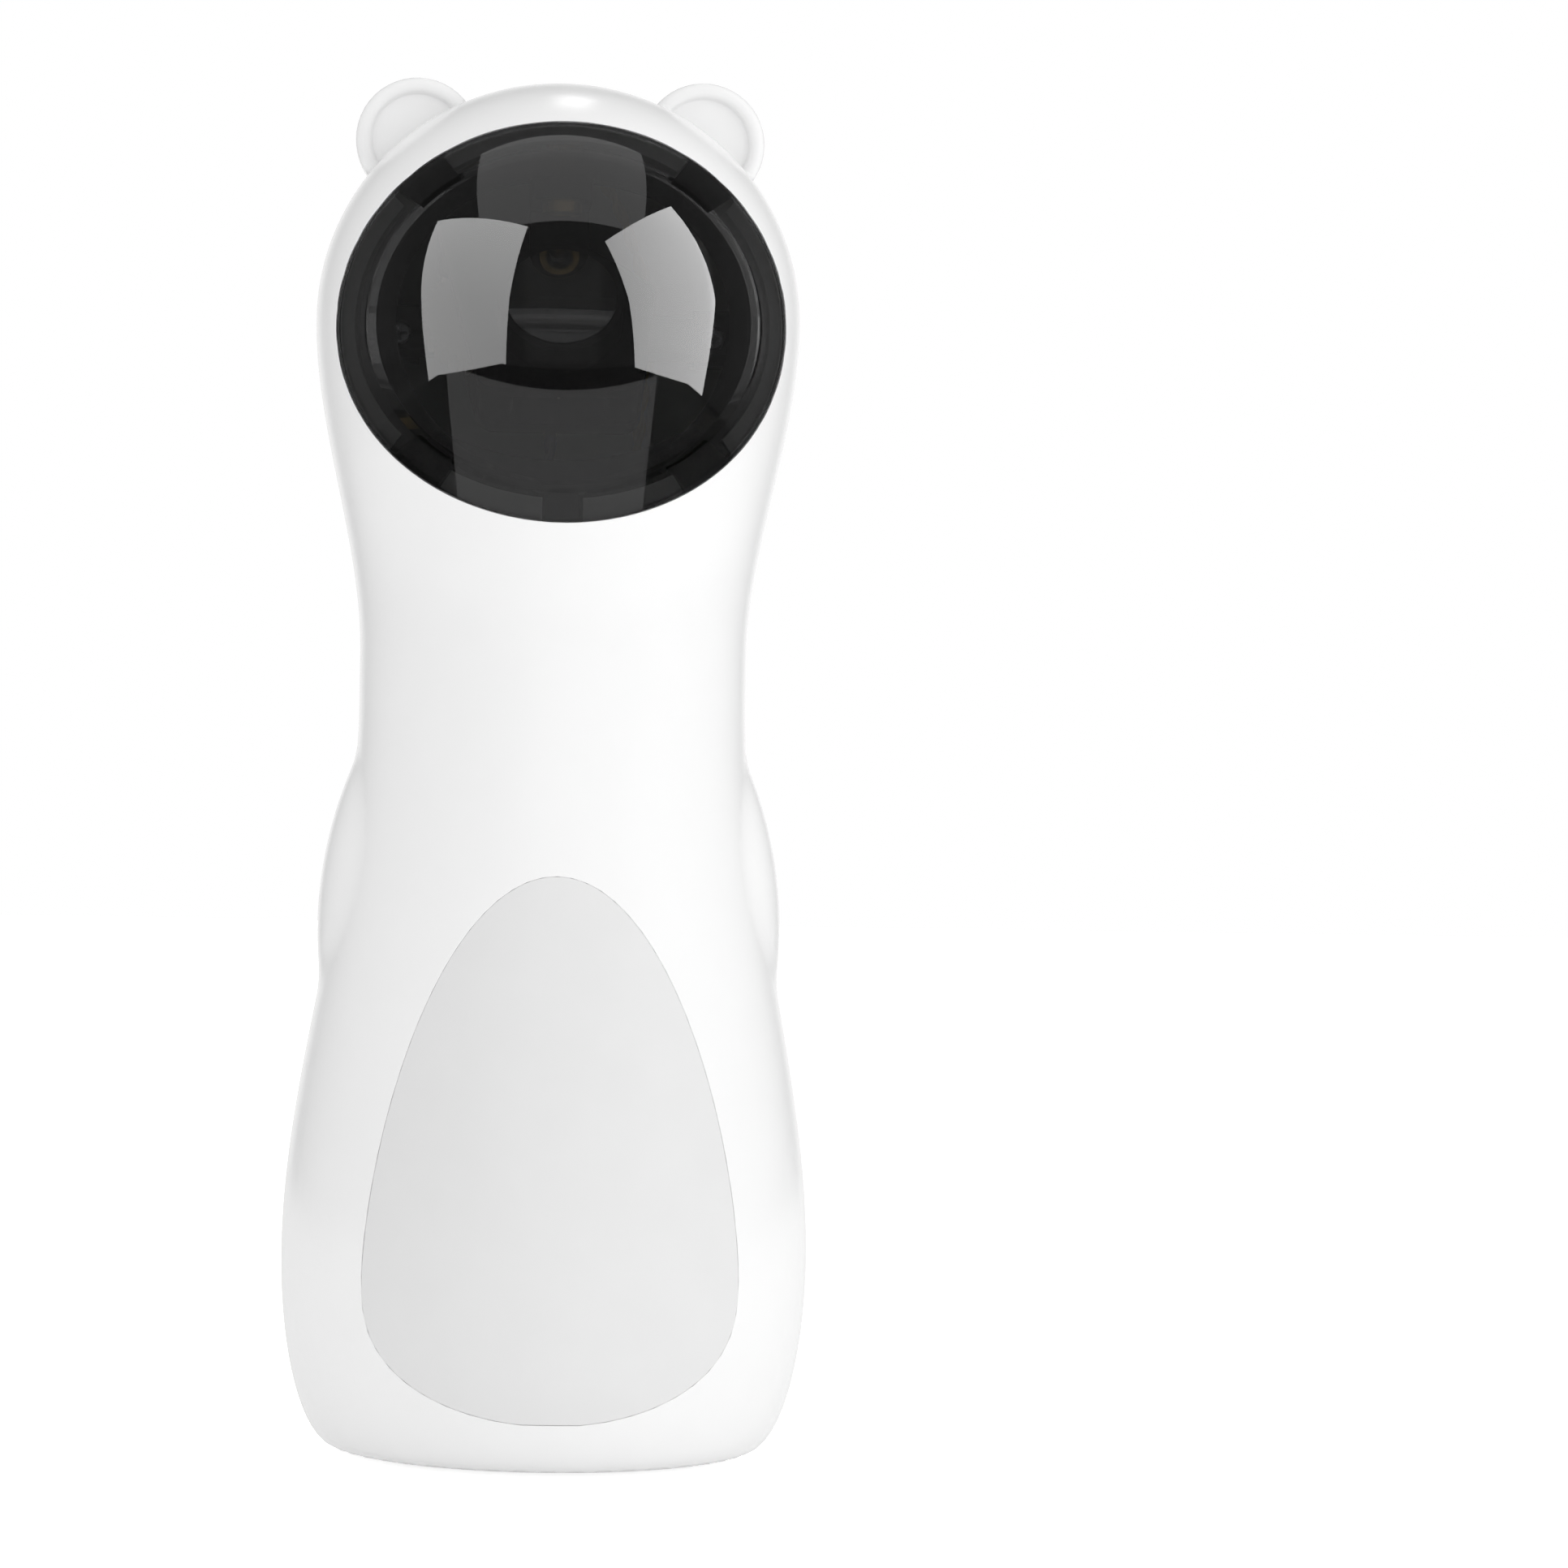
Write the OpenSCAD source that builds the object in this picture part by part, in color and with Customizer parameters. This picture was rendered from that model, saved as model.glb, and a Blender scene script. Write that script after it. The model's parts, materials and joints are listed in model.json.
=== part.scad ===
// Automatic cat laser toy: a cat-shaped case with a smoked visor, behind which a geared motor
// turns a tilted mirror under a small laser, so that the spot runs round on the floor.
// Millimetres. The front faces -Y, +Z is up, and the origin is the centre of the base, on the floor.

/* [Case] */
// Radius where the rounded bottom edge meets the flat base
base_r = 33.8; // [33:0.1:36]
// Radius of the widest part of the body
hip_r = 43; // [41:0.5:46]
// Height of the widest part of the body
hip_z = 32; // [28:1:38]
// Radius of the neck
neck_r = 31.6; // [30:0.2:34]
// Height at which the neck starts
neck_low = 122; // [118:1:126]
// Height at which the head starts to widen
neck_high = 130; // [127:1:134]
// Radius of the widest part of the head
head_r = 39.6; // [38.5:0.1:42]
// Height of the widest part of the head
head_z = 184.5; // [182:0.5:188]
// Height of the crown above the widest part of the head
crown_h = 39; // [38:0.5:42]
// Wall of the case
wall = 2.4; // [2:0.1:2.8]
// How far a seat bites into the wall that carries it
seat_bite = 0.4; // [0.3:0.1:0.6]
// Thickness of the seats behind the visor and the belly panel
seat_thick = 1.6; // [1.2:0.1:2]
// Width of those seats under the edge of the piece they carry
seat_w = 4; // [3:0.5:5]
// Reach of the seam lip past the seam
lip_reach = 3; // [2:0.5:4]

/* [Ears] */
// Radius of an ear
ear_r = 10.1; // [9:0.1:11]
// Lean of an ear's centre away from straight up, in degrees
ear_lean = 38; // [34:1:42]
// How deep the centre of an ear sits below the crown's curve
ear_sink = 1.4; // [0.5:0.1:2.5]
// Distance of the middle of an ear behind the seam
ear_back = 4; // [3.5:0.1:5]
// Thickness of an ear
ear_thick = 6; // [5:0.1:6.6]
// Width of the raised rim round an ear's hollow
ear_rim = 2.6; // [2:0.1:3.2]
// Depth of the hollow in the front of an ear
ear_hollow = 1.6; // [1:0.1:2.4]

/* [Arms] */
// Height at which an arm stands furthest out
arm_z = 85; // [82:1:88]
// How far an arm stands proud of the side there
arm_proud = 2.1; // [1.6:0.1:2.8]
// Radius of an arm's outline seen from the front
arm_front_r = 68.6; // [64:0.2:76]
// Radius of an arm's outline seen from above
arm_plan_r = 18.4; // [16:0.2:21]

/* [Visor] */
// Width of the visor opening
visor_w = 72.5; // [69:0.5:74]
// Height of the visor opening
visor_h = 64.3; // [60:0.1:66]
// How far the middle of the visor lies below the widest part of the head
visor_drop = 2.3; // [1:0.1:3.5]
// Width of the four corner notches in the visor's seat
notch_w = 9.6; // [8:0.1:11]
// Width of the notch at the bottom of the seat
notch_low_w = 6.3; // [5:0.1:8]
// Depth of the rim on the back of the visor
visor_rim = 2; // [1:0.1:3]
// Thickness of the inner mask
mask_thick = 1.6; // [1.2:0.1:2.4]
// Width of the mask's window
mask_w = 64; // [60:0.5:65]
// Height of the mask's window
mask_h = 45; // [40:0.5:50]

/* [Belly panel] */
// Half the width of the panel where it is widest
panel_r = 29.8; // [28:0.1:31]
// Height at which the panel is widest
panel_z = 31; // [29:0.5:33]
// Height of the panel's pointed top
panel_top = 94.5; // [90:0.5:100]
// Height of the panel's flat bottom edge
panel_low = 9; // [8:0.5:11]
// How far below that edge the panel's lower curve would close
panel_flat = 0.2; // [0.1:0.1:3]

/* [Battery] */
// Diameter of a cell
cell_d = 14.5; // [14:0.1:14.8]
// Length of a cell with its nub
cell_len = 50.5; // [49:0.5:51]
// Space between two cells
cell_gap = 0.7; // [0.4:0.1:1]
// Height of the nub on a cell
nub_h = 1.5; // [1:0.1:2]
// Length of a pressed-in cell spring
cell_spring = 3.8; // [3.4:0.1:5]
// Wire thickness of the cell springs
spring_wire = 0.6; // [0.5:0.05:0.7]
// Turns of a cell spring
spring_turns = 3; // [2:1:3]
// Wall of the battery holder
holder_wall = 1.6; // [1.2:0.1:2]
// Thickness of the sprung contact sheet
contact_thick = 0.3; // [0.2:0.05:0.5]

/* [Base] */
// How far the feet hold the case off the floor
foot_proud = 0.8; // [0.5:0.1:1.2]
// Diameter of a foot
foot_d = 7; // [6:0.1:7.6]
// Thickness of a foot
foot_h = 2; // [1.6:0.1:2.4]
// Radius of the opening under the case
floor_r = 30; // [29.5:0.1:31]
// Thickness of the base plate's outer step
plate_step = 2; // [1.6:0.1:2.4]
// Width by which the base plate's step overlaps the case
plate_lap = 3; // [2:0.1:3.4]
// Space between the battery cap's edge and the holder's bore
cap_over = 2.1; // [1.8:0.1:2.6]
// Reach of the cap's bayonet lugs
lug_reach = 2; // [1.5:0.1:2.4]
// Width of a bayonet lug, in degrees
lug_span = 24; // [18:1:28]
// Turn that opens the battery cap, in degrees
cap_turn = 34; // [30:1:40]

/* [Mirror drive] */
// Angle at which the middle of the beam leaves, below level, in degrees
beam_drop = 20; // [16:1:24]
// Distance of the mirror's centre before the seam
mirror_y = 12; // [11.5:0.1:12.5]
// Height of the mirror's centre above the widest part of the head
mirror_up = 3.5; // [2.5:0.1:4]
// Diameter of the mirror
mirror_d = 18; // [16:0.5:18.5]
// Thickness of the mirror
mirror_thick = 1.2; // [0.8:0.1:1.6]
// Tilt of the mirror on its turntable, in degrees
mirror_tilt = 7; // [4:1:8]
// Module of the gears
gear_module = 0.5; // [0.48:0.01:0.52]
// Teeth of a pinion
pinion_teeth = 12; // [12:1:14]
// Teeth of a wheel
wheel_teeth = 42; // [40:1:42]
// Width of a gear
gear_w = 3; // [2.6:0.1:3.2]
// Diameter of the turntable's shaft
shaft_d = 3; // [2.6:0.1:3.4]
// Diameter of the intermediate gear's pin and of the motor's shaft
pin_d = 2; // [1.6:0.1:2.2]
// Thickness of the gearbox plates
gearbox_plate = 2.2; // [1.8:0.1:2.4]
// Diameter of the motor
motor_d = 15.5; // [14:0.1:16]
// Length of the motor
motor_len = 20; // [17:0.5:22]
// Width across the motor's flats
motor_flat = 12.4; // [11:0.1:13]

/* [Laser] */
// Diameter of the laser's barrel
laser_d = 6.5; // [6:0.1:7]
// Length of the laser's barrel
laser_len = 11; // [10:0.5:12]
// Height of the barrel's lower end above the mirror's centre
laser_up = 13; // [12:0.5:13.5]

/* [Board and controls] */
// Width of the main board
board_w = 30; // [29:0.5:31]
// Height of the main board
board_h = 36; // [35:0.5:37]
// Thickness of the main board
board_thick = 1.6; // [1.2:0.1:2]
// Height of the main board's lower edge
board_low = 38; // [37:0.5:39]
// Height of the button's centre
button_z = 66; // [64:0.5:67]
// Diameter of the button
button_d = 11; // [9:0.1:11.4]
// Width of the flange that keeps the button in
button_flange = 1; // [0.8:0.1:1.2]
// How far the button stands proud
button_proud = 0.9; // [0.6:0.1:1.5]
// Travel of the button
button_travel = 0.5; // [0.3:0.05:0.6]
// Height of the power inlet's centre
inlet_z = 46; // [45:0.5:47]
// Width of the power inlet
inlet_w = 8.9; // [8:0.1:9.4]
// Height of the power inlet
inlet_h = 3.3; // [3:0.1:3.6]
// Height of the light pipe's centre
light_z = 56; // [55:0.5:57]
// Diameter of the light pipe
light_d = 3; // [2.4:0.1:3.2]
// Side of the main chip
chip_side = 7; // [6:0.5:8]
// Height of the main chip
chip_h = 1.2; // [1:0.1:1.4]
// Diameter of the capacitor
can_d = 5; // [4.5:0.1:5.5]
// Length of the capacitor
can_h = 6; // [5:0.5:7]
// Side of a lead's plug
plug_side = 6; // [5.4:0.1:6.4]
// How far a lead's plug stands off the board
plug_depth = 5; // [4:0.5:5.5]

/* [Screws and leads] */
// Diameter of a case screw
screw_d = 2.9; // [2.4:0.1:3.2]
// Diameter of a case screw's head
screw_head_d = 5.4; // [4.8:0.1:5.8]
// Height of a case screw's head
screw_head_h = 2; // [1.6:0.1:2.4]
// Wall of a boss round its hole
boss_wall = 1.6; // [1.2:0.1:2]
// Diameter of a small screw, as used on the board, the mask and the gearbox
small_d = 2.2; // [1.8:0.1:2.4]
// Diameter of a small screw's head
small_head_d = 4; // [3.6:0.1:4.4]
// Height of a small screw's head
small_head_h = 1.5; // [1.2:0.1:1.8]
// Diameter of a two-core lead
lead_d = 2.4; // [1.8:0.1:2.6]

/* [Clearances] */
// Gap between faces that meet without moving
fit = 0.1; // [0.05:0.01:0.15]
// Parting gap that shows round the visor and the belly panel
parting = 0.15; // [0.1:0.01:0.3]
// Radial clearance of a shaft or pin in its bore
running = 0.05; // [0.03:0.01:0.08]
// Space left beside a piece that moves
swing = 0.3; // [0.25:0.01:0.4]
// Backlash between two gears
backlash = 0.12; // [0.08:0.01:0.16]

/* [Hidden] */

// Colours as the object shows them
case_white = [0.95, 0.95, 0.95];
panel_grey = [0.85, 0.86, 0.87];
smoke = [0.12, 0.12, 0.14];
dark_plastic = [0.16, 0.16, 0.17];
steel = [0.72, 0.73, 0.75];
brass = [0.80, 0.66, 0.34];
board_green = [0.10, 0.38, 0.22];
gear_cream = [0.90, 0.87, 0.76];

// Smoothness of round things in a preview
$fn = 72;
// Steps along each stretch of the case's outline
edge_steps = 7;
waist_steps = 12;
throat_steps = 9;
crown_steps = 11;
// Steps along each half of the belly panel's outline, and along an arm's
panel_steps = 20;
arm_steps = 10;
// Longer than anything in the case
far = 300;
// Overlap that keeps a cut clean
skim = 0.01;

// ---- The case's outline: points [radius, height, outward slope across, outward slope up] ----

function smooth(u) = u * u * (3 - 2 * u);
function smooth_rate(u) = 6 * u * (1 - u);
function backwards(list) = [for (i = [len(list) - 1:-1:0]) list[i]];
function polar(r, a) = [r * cos(a), r * sin(a)];

edge_line = [
    for (i = [0:edge_steps])
        let (t = 90 * i / edge_steps, across = hip_r - base_r, up = hip_z - foot_proud)
        [base_r + across * sin(t), foot_proud + up * (1 - cos(t)), up * sin(t), -across * cos(t)]
];
waist_line = [
    for (i = [1:waist_steps])
        let (u = i / waist_steps, up = neck_low - hip_z, across = neck_r - hip_r)
        [hip_r + across * smooth(u), hip_z + up * u, up, -across * smooth_rate(u)]
];
throat_line = [
    for (i = [0:throat_steps])
        let (u = i / throat_steps, up = head_z - neck_high, across = head_r - neck_r)
        [neck_r + across * smooth(u), neck_high + up * u, up, -across * smooth_rate(u)]
];
crown_line = [
    for (i = [1:crown_steps])
        let (t = 90 * i / crown_steps)
        [head_r * cos(t), head_z + crown_h * sin(t), crown_h * cos(t), head_r * sin(t)]
];
body_line = concat(edge_line, waist_line);
head_line = concat(throat_line, crown_line);
case_line = concat(body_line, head_line);

// The outline moved inwards by d, as plain points
function inset(line, d) = [
    for (p = line)
        let (n = norm([p[2], p[3]]))
        [p[0] - d * p[2] / n, p[1] - d * p[3] / n]
];

// Radius of the case's outside at height z
function case_r(z) =
    z < hip_z
        ? base_r + (hip_r - base_r) * sqrt(max(0, 1 - pow((hip_z - z) / (hip_z - foot_proud), 2)))
    : z < neck_low ? hip_r - (hip_r - neck_r) * smooth((z - hip_z) / (neck_low - hip_z))
    : z < neck_high ? neck_r
    : z < head_z ? neck_r + (head_r - neck_r) * smooth((z - neck_high) / (head_z - neck_high))
    : head_r * sqrt(max(0, 1 - pow((z - head_z) / crown_h, 2)));
// Distance of the case's inside wall from the seam, at height z and x to the side
function inside_y(z, x = 0) = sqrt(max(1, pow(case_r(z) - wall, 2) - x * x));

// The case filled solid, d below its surface
module filled(d, angle = 360) {
    rotate_extrude(angle = angle) polygon(concat([[0, foot_proud + d]], inset(case_line, d)));
}
// A layer of the case between two depths, along one stretch of the outline
module layer(line, near, deep, angle = 360) {
    rotate_extrude(angle = angle) polygon(concat(inset(line, near), backwards(inset(line, deep))));
}
// Turns what is made for the rear half to the front
module to_front() {
    rotate([0, 0, 180]) children();
}
// Runs a shape drawn from the front, across and up, from the seam forwards
module forwards(from = 0, to = far) {
    translate([0, -from, 0]) rotate([90, 0, 0]) linear_extrude(to - from) children();
}
// A round bar along Y between two distances behind the seam
module bar_y(r, x, z, from, to) {
    translate([x, from, z]) rotate([-90, 0, 0]) cylinder(r = r, h = to - from);
}
// Half length, half width and floor of the crossed slot, as shares of a screw's head
slot_reach = 0.32;
slot_half = 0.07;
slot_floor = 0.45;
// A screw along +Z whose head's underside is at 0, with a crossed slot in the head
module screw(shank, head, head_h, length) {
    difference() {
        union() {
            translate([0, 0, -length]) cylinder(d = shank, h = length + skim);
            cylinder(d = head, h = head_h);
        }
        for (a = [0, 90]) {
            rotate([0, 0, a]) translate([-head * slot_reach, -head * slot_half, head_h * slot_floor])
                cube([2 * head * slot_reach, 2 * head * slot_half, head_h]);
        }
    }
}

// ---- Openings of the case ----

cover_thick = wall - seat_bite;
seat_depth = cover_thick + fit;
seat_back = seat_depth + seat_thick;
visor_z = head_z - visor_drop;

// The visor's outline, grown or shrunk by d
module visor_outline(d = 0) {
    translate([0, visor_z]) scale([visor_w / 2 + d, visor_h / 2 + d]) circle(r = 1);
}

// The visor's seat has a notch near each corner and one at the bottom
notch_turns = [49, 131, 229, 311, 270];
module visor_notches(d = 0) {
    for (t = notch_turns) {
        w = t == 270 ? notch_low_w : notch_w;
        translate([visor_w / 2 * cos(t), visor_z + visor_h / 2 * sin(t)])
            rotate(atan2(visor_w * sin(t), visor_h * cos(t)))
                square([4 * seat_w, w + 2 * d], center = true);
    }
}

// The belly panel is pointed at the top, and its lower curve is cut flat at the bottom
point_power = 1.6;
round_power = 2.7;
panel_depth = panel_z - panel_low + panel_flat;
low_end = asin(pow((panel_z - panel_low) / panel_depth, round_power / 2));
panel_half = concat(
    [for (i = [panel_steps / 2:-1:1]) let (t = low_end * i / (panel_steps / 2))
        [panel_r * cos(t), panel_z - panel_depth * pow(sin(t), 2 / round_power)]],
    [for (i = [0:panel_steps - 1]) let (t = 90 * i / panel_steps)
        [panel_r * cos(t), panel_z + (panel_top - panel_z) * pow(sin(t), 2 / point_power)]]
);
panel_points = concat(
    panel_half,
    [[0, panel_top]],
    [for (p = backwards(panel_half)) [-p[0], p[1]]]
);
// The points moved outwards by d, square to the outline
function grown(points, d) = [
    for (i = [0:len(points) - 1])
        let (
            before = points[(i + len(points) - 1) % len(points)],
            after = points[(i + 1) % len(points)],
            along = (after - before) / norm(after - before)
        )
        points[i] + d * [along[1], -along[0]]
];
module panel_outline(d = 0) {
    polygon(grown(panel_points, d));
}

// A seat behind an opening: a ledge under the edge of the cover, rooted in the wall around it
module seat(line) {
    intersection() {
        to_front() layer(line, seat_depth, seat_back, 180);
        forwards() difference() {
            children(0);
            children(1);
        }
    }
}

// ---- Ears and arms ----

ear_x = (head_r - ear_sink) * sin(ear_lean);
ear_z = head_z + (head_r - ear_sink) * cos(ear_lean);
// Radius of the rounding on an ear's edges
ear_round = 1.3;

module ear(side) {
    rim_r = ear_rim / 2;
    back = -ear_thick / 2;
    rim_z = ear_thick / 2 - rim_r;
    outline = concat(
        [[0, back], [ear_r - ear_round, back]],
        [for (a = [-60, -30, 0]) [ear_r - ear_round, back + ear_round] + polar(ear_round, a)],
        [for (a = [0:30:180]) [ear_r - rim_r, rim_z] + polar(rim_r, a)],
        [for (t = [0:15:75]) [(ear_r - ear_rim) * cos(t), rim_z - (ear_hollow - rim_r) * sin(t)]],
        [[0, ear_thick / 2 - ear_hollow]]
    );
    translate([side * ear_x, ear_back, ear_z]) rotate([90, 0, 0]) rotate_extrude() polygon(outline);
}

arm_axis = case_r(arm_z) + arm_proud - arm_plan_r;
// The ends of an arm's outline, where it has sunk into the body
arm_below = 15;
arm_above = 31;
arm_line = [
    for (i = [0:arm_steps])
        let (up = -arm_below + (arm_below + arm_above) * i / arm_steps)
        [arm_plan_r - arm_front_r + sqrt(arm_front_r * arm_front_r - up * up), arm_z + up]
];
module arms() {
    for (side = [-1, 1]) {
        translate([side * arm_axis, 0, 0]) rotate_extrude(angle = 180)
            polygon(concat([[0, arm_z - arm_below]], arm_line, [[0, arm_z + arm_above]]));
    }
}

// ---- Screws that close the case: [across, up] ----

screw_rows = [20, 88, 138];
screw_places = [
    for (z = screw_rows)
        for (side = [-1, 1])
            [side * (case_r(z) - wall - screw_head_d / 2 - boss_wall - screw_d), z]
];
// Where the underside of a screw's head lies, how deep its hole goes, and what its tip leaves
head_seat_y = 6;
screw_grip = 12;
tip_gap = 1;
boss_r = screw_d / 2 + boss_wall;
rear_boss_r = screw_head_d / 2 + swing + boss_wall;

// ---- The inner mask hangs on two bosses of the front shell ----

mask_rise = 1.8;
mask_z = visor_z + mask_rise;
// The mask stands just behind the visor's rim, and reaches the seat on either side
rim_x = visor_w / 2 - seat_w - parting;
mask_y = sqrt(max(1, pow(case_r(visor_z) - seat_back - visor_rim, 2) - rim_x * rim_x)) - swing;
mask_half_w = sqrt(pow(case_r(visor_z) - seat_back, 2) - mask_y * mask_y) - swing;
mask_inset = 2;
mask_half_h = visor_h / 2 - mask_inset;
mask_screw_x = 12;
mask_screw_drop = 5.2;
mask_screw_z = visor_z - visor_h / 2 - mask_screw_drop;
mask_tab = 4;
mask_grip = 6;
small_boss_r = small_d / 2 + boss_wall;

module front_shell() {
    color(case_white) difference() {
        union() {
            difference() {
                to_front() {
                    filled(0, 180);
                    arms();
                }
                filled(wall);
                forwards(mask_y - wall) visor_outline();
                forwards(wall) panel_outline();
            }
            seat(head_line) {
                visor_outline(seat_w / 2);
                union() {
                    visor_outline(-seat_w);
                    visor_notches();
                }
            }
            seat(body_line) {
                panel_outline(seat_w / 2);
                panel_outline(-seat_w);
            }
            seam_lip();
            intersection() {
                filled(wall / 2);
                front_bosses();
            }
        }
        translate([0, 0, -skim]) cylinder(r = floor_r, h = foot_proud + wall + 2 * skim);
        for (p = screw_places) bar_y(screw_d / 2 + running, p[0], p[1], -screw_grip, skim);
        for (side = [-1, 1]) {
            bar_y(small_d / 2 + running, side * mask_screw_x, mask_screw_z,
                -mask_y - mask_grip, -mask_y + skim);
        }
    }
}

// A thin lip inside the seam, rooted in the front shell, that lines the two halves up
module seam_lip() {
    lip_low = hip_z / 4;
    intersection() {
        union() {
            layer(case_line, wall + fit, wall + seat_thick);
            intersection() {
                layer(case_line, wall / 2, wall + seat_thick);
                translate([-far / 2, -far, 0]) cube([far, far, far]);
            }
        }
        translate([-far / 2, -lip_reach, lip_low]) cube([far, 2 * lip_reach, far]);
    }
}

module front_bosses() {
    for (p = screw_places) bar_y(boss_r, p[0], p[1], -far / 4, 0);
    for (side = [-1, 1]) bar_y(small_boss_r, side * mask_screw_x, mask_screw_z, -far / 4, -mask_y);
}

module belly_panel() {
    color(panel_grey) intersection() {
        to_front() layer(body_line, 0, cover_thick, 180);
        forwards() panel_outline(-parting);
    }
}

module visor() {
    color(smoke) union() {
        intersection() {
            to_front() layer(head_line, 0, cover_thick, 180);
            forwards() visor_outline(-parting);
        }
        intersection() {
            to_front() layer(head_line, wall / 2, seat_back + visor_rim, 180);
            forwards() difference() {
                visor_outline(-seat_w - parting);
                visor_outline(-seat_w - parting - mask_thick);
            }
        }
        // Lugs that stand in the seat's notches
        intersection() {
            to_front() layer(head_line, wall / 2, seat_back, 180);
            forwards() intersection() {
                visor_notches(-swing);
                difference() {
                    visor_outline(-parting);
                    visor_outline(-seat_w - parting - skim);
                }
            }
        }
    }
}

module inner_mask() {
    color(dark_plastic) forwards(mask_y - mask_thick, mask_y) difference() {
        union() {
            translate([0, visor_z]) scale([mask_half_w, mask_half_h]) circle(r = 1);
            translate([-mask_screw_x - mask_tab, mask_screw_z - mask_tab])
                square([2 * (mask_screw_x + mask_tab), visor_z - mask_half_h / 2 - mask_screw_z]);
        }
        translate([0, mask_z]) scale([mask_w / 2, mask_h / 2]) circle(r = 1);
        translate([-arm_half_w - swing, mask_z]) square([2 * (arm_half_w + swing), mask_h]);
        for (side = [-1, 1]) translate([side * mask_screw_x, mask_screw_z]) circle(d = small_d + 2 * fit);
    }
}

module mask_screws() {
    color(steel) for (side = [-1, 1]) {
        translate([side * mask_screw_x, mask_thick - mask_y, mask_screw_z]) rotate([-90, 0, 0])
            screw(small_d, small_head_d, small_head_h, mask_thick + mask_grip - skim);
    }
}

module case_screws() {
    color(steel) for (p = screw_places) {
        translate([p[0], head_seat_y, p[1]]) rotate([-90, 0, 0])
            screw(screw_d, screw_head_d, screw_head_h, head_seat_y + screw_grip - tip_gap);
    }
}

// ---- Base plate, feet and bayonet cap ----

plate_low = foot_proud + 2 * fit;
floor_top = foot_proud + wall;
step_low = floor_top + fit;
step_top = step_low + plate_step;
cell_offset = (cell_d + cell_gap) / 2;
holder_bore = cell_offset * sqrt(2) + cell_d / 2 + 4 * fit;
holder_r = holder_bore + holder_wall;
cap_r = holder_bore + cap_over;
lug_r = cap_r + lug_reach;
lug_root = 1;
channel_h = 1.7;
channel_low = step_top - channel_h;
lug_low = channel_low + fit;
cap_top = step_top - 4 * fit;
// Angle left on each side of a lug in its channel, in degrees
lug_play = 1.5;
slot_span = lug_span + 2 * lug_play;
slot_places = [90, 210, 330];
foot_place_r = (cap_r + floor_r) / 2;
foot_places = [45, 135, 225, 315];
plate_screw_r = floor_r - small_head_d;
plate_screw_grip = 3;

// A curved block round the middle, between two radii, two heights and two angles
module arc_block(inner, outer, low, high, from, span) {
    rotate([0, 0, from]) rotate_extrude(angle = span)
        translate([inner, low]) square([outer - inner, high - low]);
}

module base_plate() {
    color(case_white) difference() {
        union() {
            translate([0, 0, plate_low]) cylinder(r = floor_r - 2 * fit, h = step_top - plate_low);
            translate([0, 0, step_low]) cylinder(r = floor_r + plate_lap, h = plate_step);
        }
        translate([0, 0, plate_low - skim]) cylinder(r = cap_r + 2 * fit, h = step_top);
        for (a = slot_places) {
            arc_block(cap_r, lug_r + swing, plate_low - skim, step_top, a - slot_span / 2, slot_span);
            arc_block(cap_r, lug_r + swing, channel_low, step_top + skim, a - slot_span / 2,
                slot_span + cap_turn);
        }
        for (a = foot_places) {
            rotate([0, 0, a]) translate([foot_place_r, 0, plate_low - skim])
                cylinder(d = foot_d + fit, h = foot_h - plate_low + fit + skim);
        }
        for (a = [0:90:270]) {
            rotate([0, 0, a]) translate([plate_screw_r, 0, step_top - plate_screw_grip])
                cylinder(r = small_d / 2 + running, h = far);
        }
    }
}

module rubber_feet() {
    bevel = foot_proud / 2;
    color(dark_plastic) for (a = foot_places) {
        rotate([0, 0, a]) translate([foot_place_r, 0, 0]) union() {
            cylinder(d1 = foot_d - 2 * bevel, d2 = foot_d, h = bevel);
            translate([0, 0, bevel]) cylinder(d = foot_d, h = foot_h - bevel);
        }
    }
}

// Radius, depth and bar of the finger hollow under the cap
grip_r = 11;
grip_depth = 1.6;
grip_bar = 3.6;
// The dot that marks the cap's place: radius, depth and distance from the edge
dot_r = 0.8;
dot_depth = 0.4;
dot_in = 3;

module battery_cap() {
    color(case_white) difference() {
        union() {
            translate([0, 0, plate_low]) cylinder(r = cap_r, h = cap_top - plate_low);
            for (a = slot_places) {
                arc_block(cap_r - lug_root, lug_r, lug_low, cap_top, a + cap_turn - lug_span / 2, lug_span);
            }
        }
        difference() {
            translate([0, 0, plate_low - skim]) cylinder(r = grip_r, h = grip_depth + skim);
            rotate([0, 0, cap_turn]) translate([-grip_bar / 2, -grip_r - skim, 0])
                cube([grip_bar, 2 * (grip_r + skim), plate_low + grip_depth]);
        }
        rotate([0, 0, slot_places[0] + cap_turn]) translate([cap_r - dot_in, 0, plate_low - skim])
            cylinder(r = dot_r, h = dot_depth);
    }
}

// ---- Battery holder, cells and contacts ----

holder_low = step_top + fit;
flange_h = 2;
flange_r = floor_r - 1;
nub_d = 5.5;
disc_low = cap_top + swing;
disc_h = 1.5;
lower_sheet = disc_low + disc_h;
cells_low = lower_sheet + contact_thick;
cells_top = cells_low + cell_spring + cell_len;
upper_sheet = cells_top;
ceiling_low = upper_sheet + contact_thick;
ceiling_h = 2;
key_w = 4;
key_reach = holder_wall / 2;
sheet_w = 8;
tail_w = 3;

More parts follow.
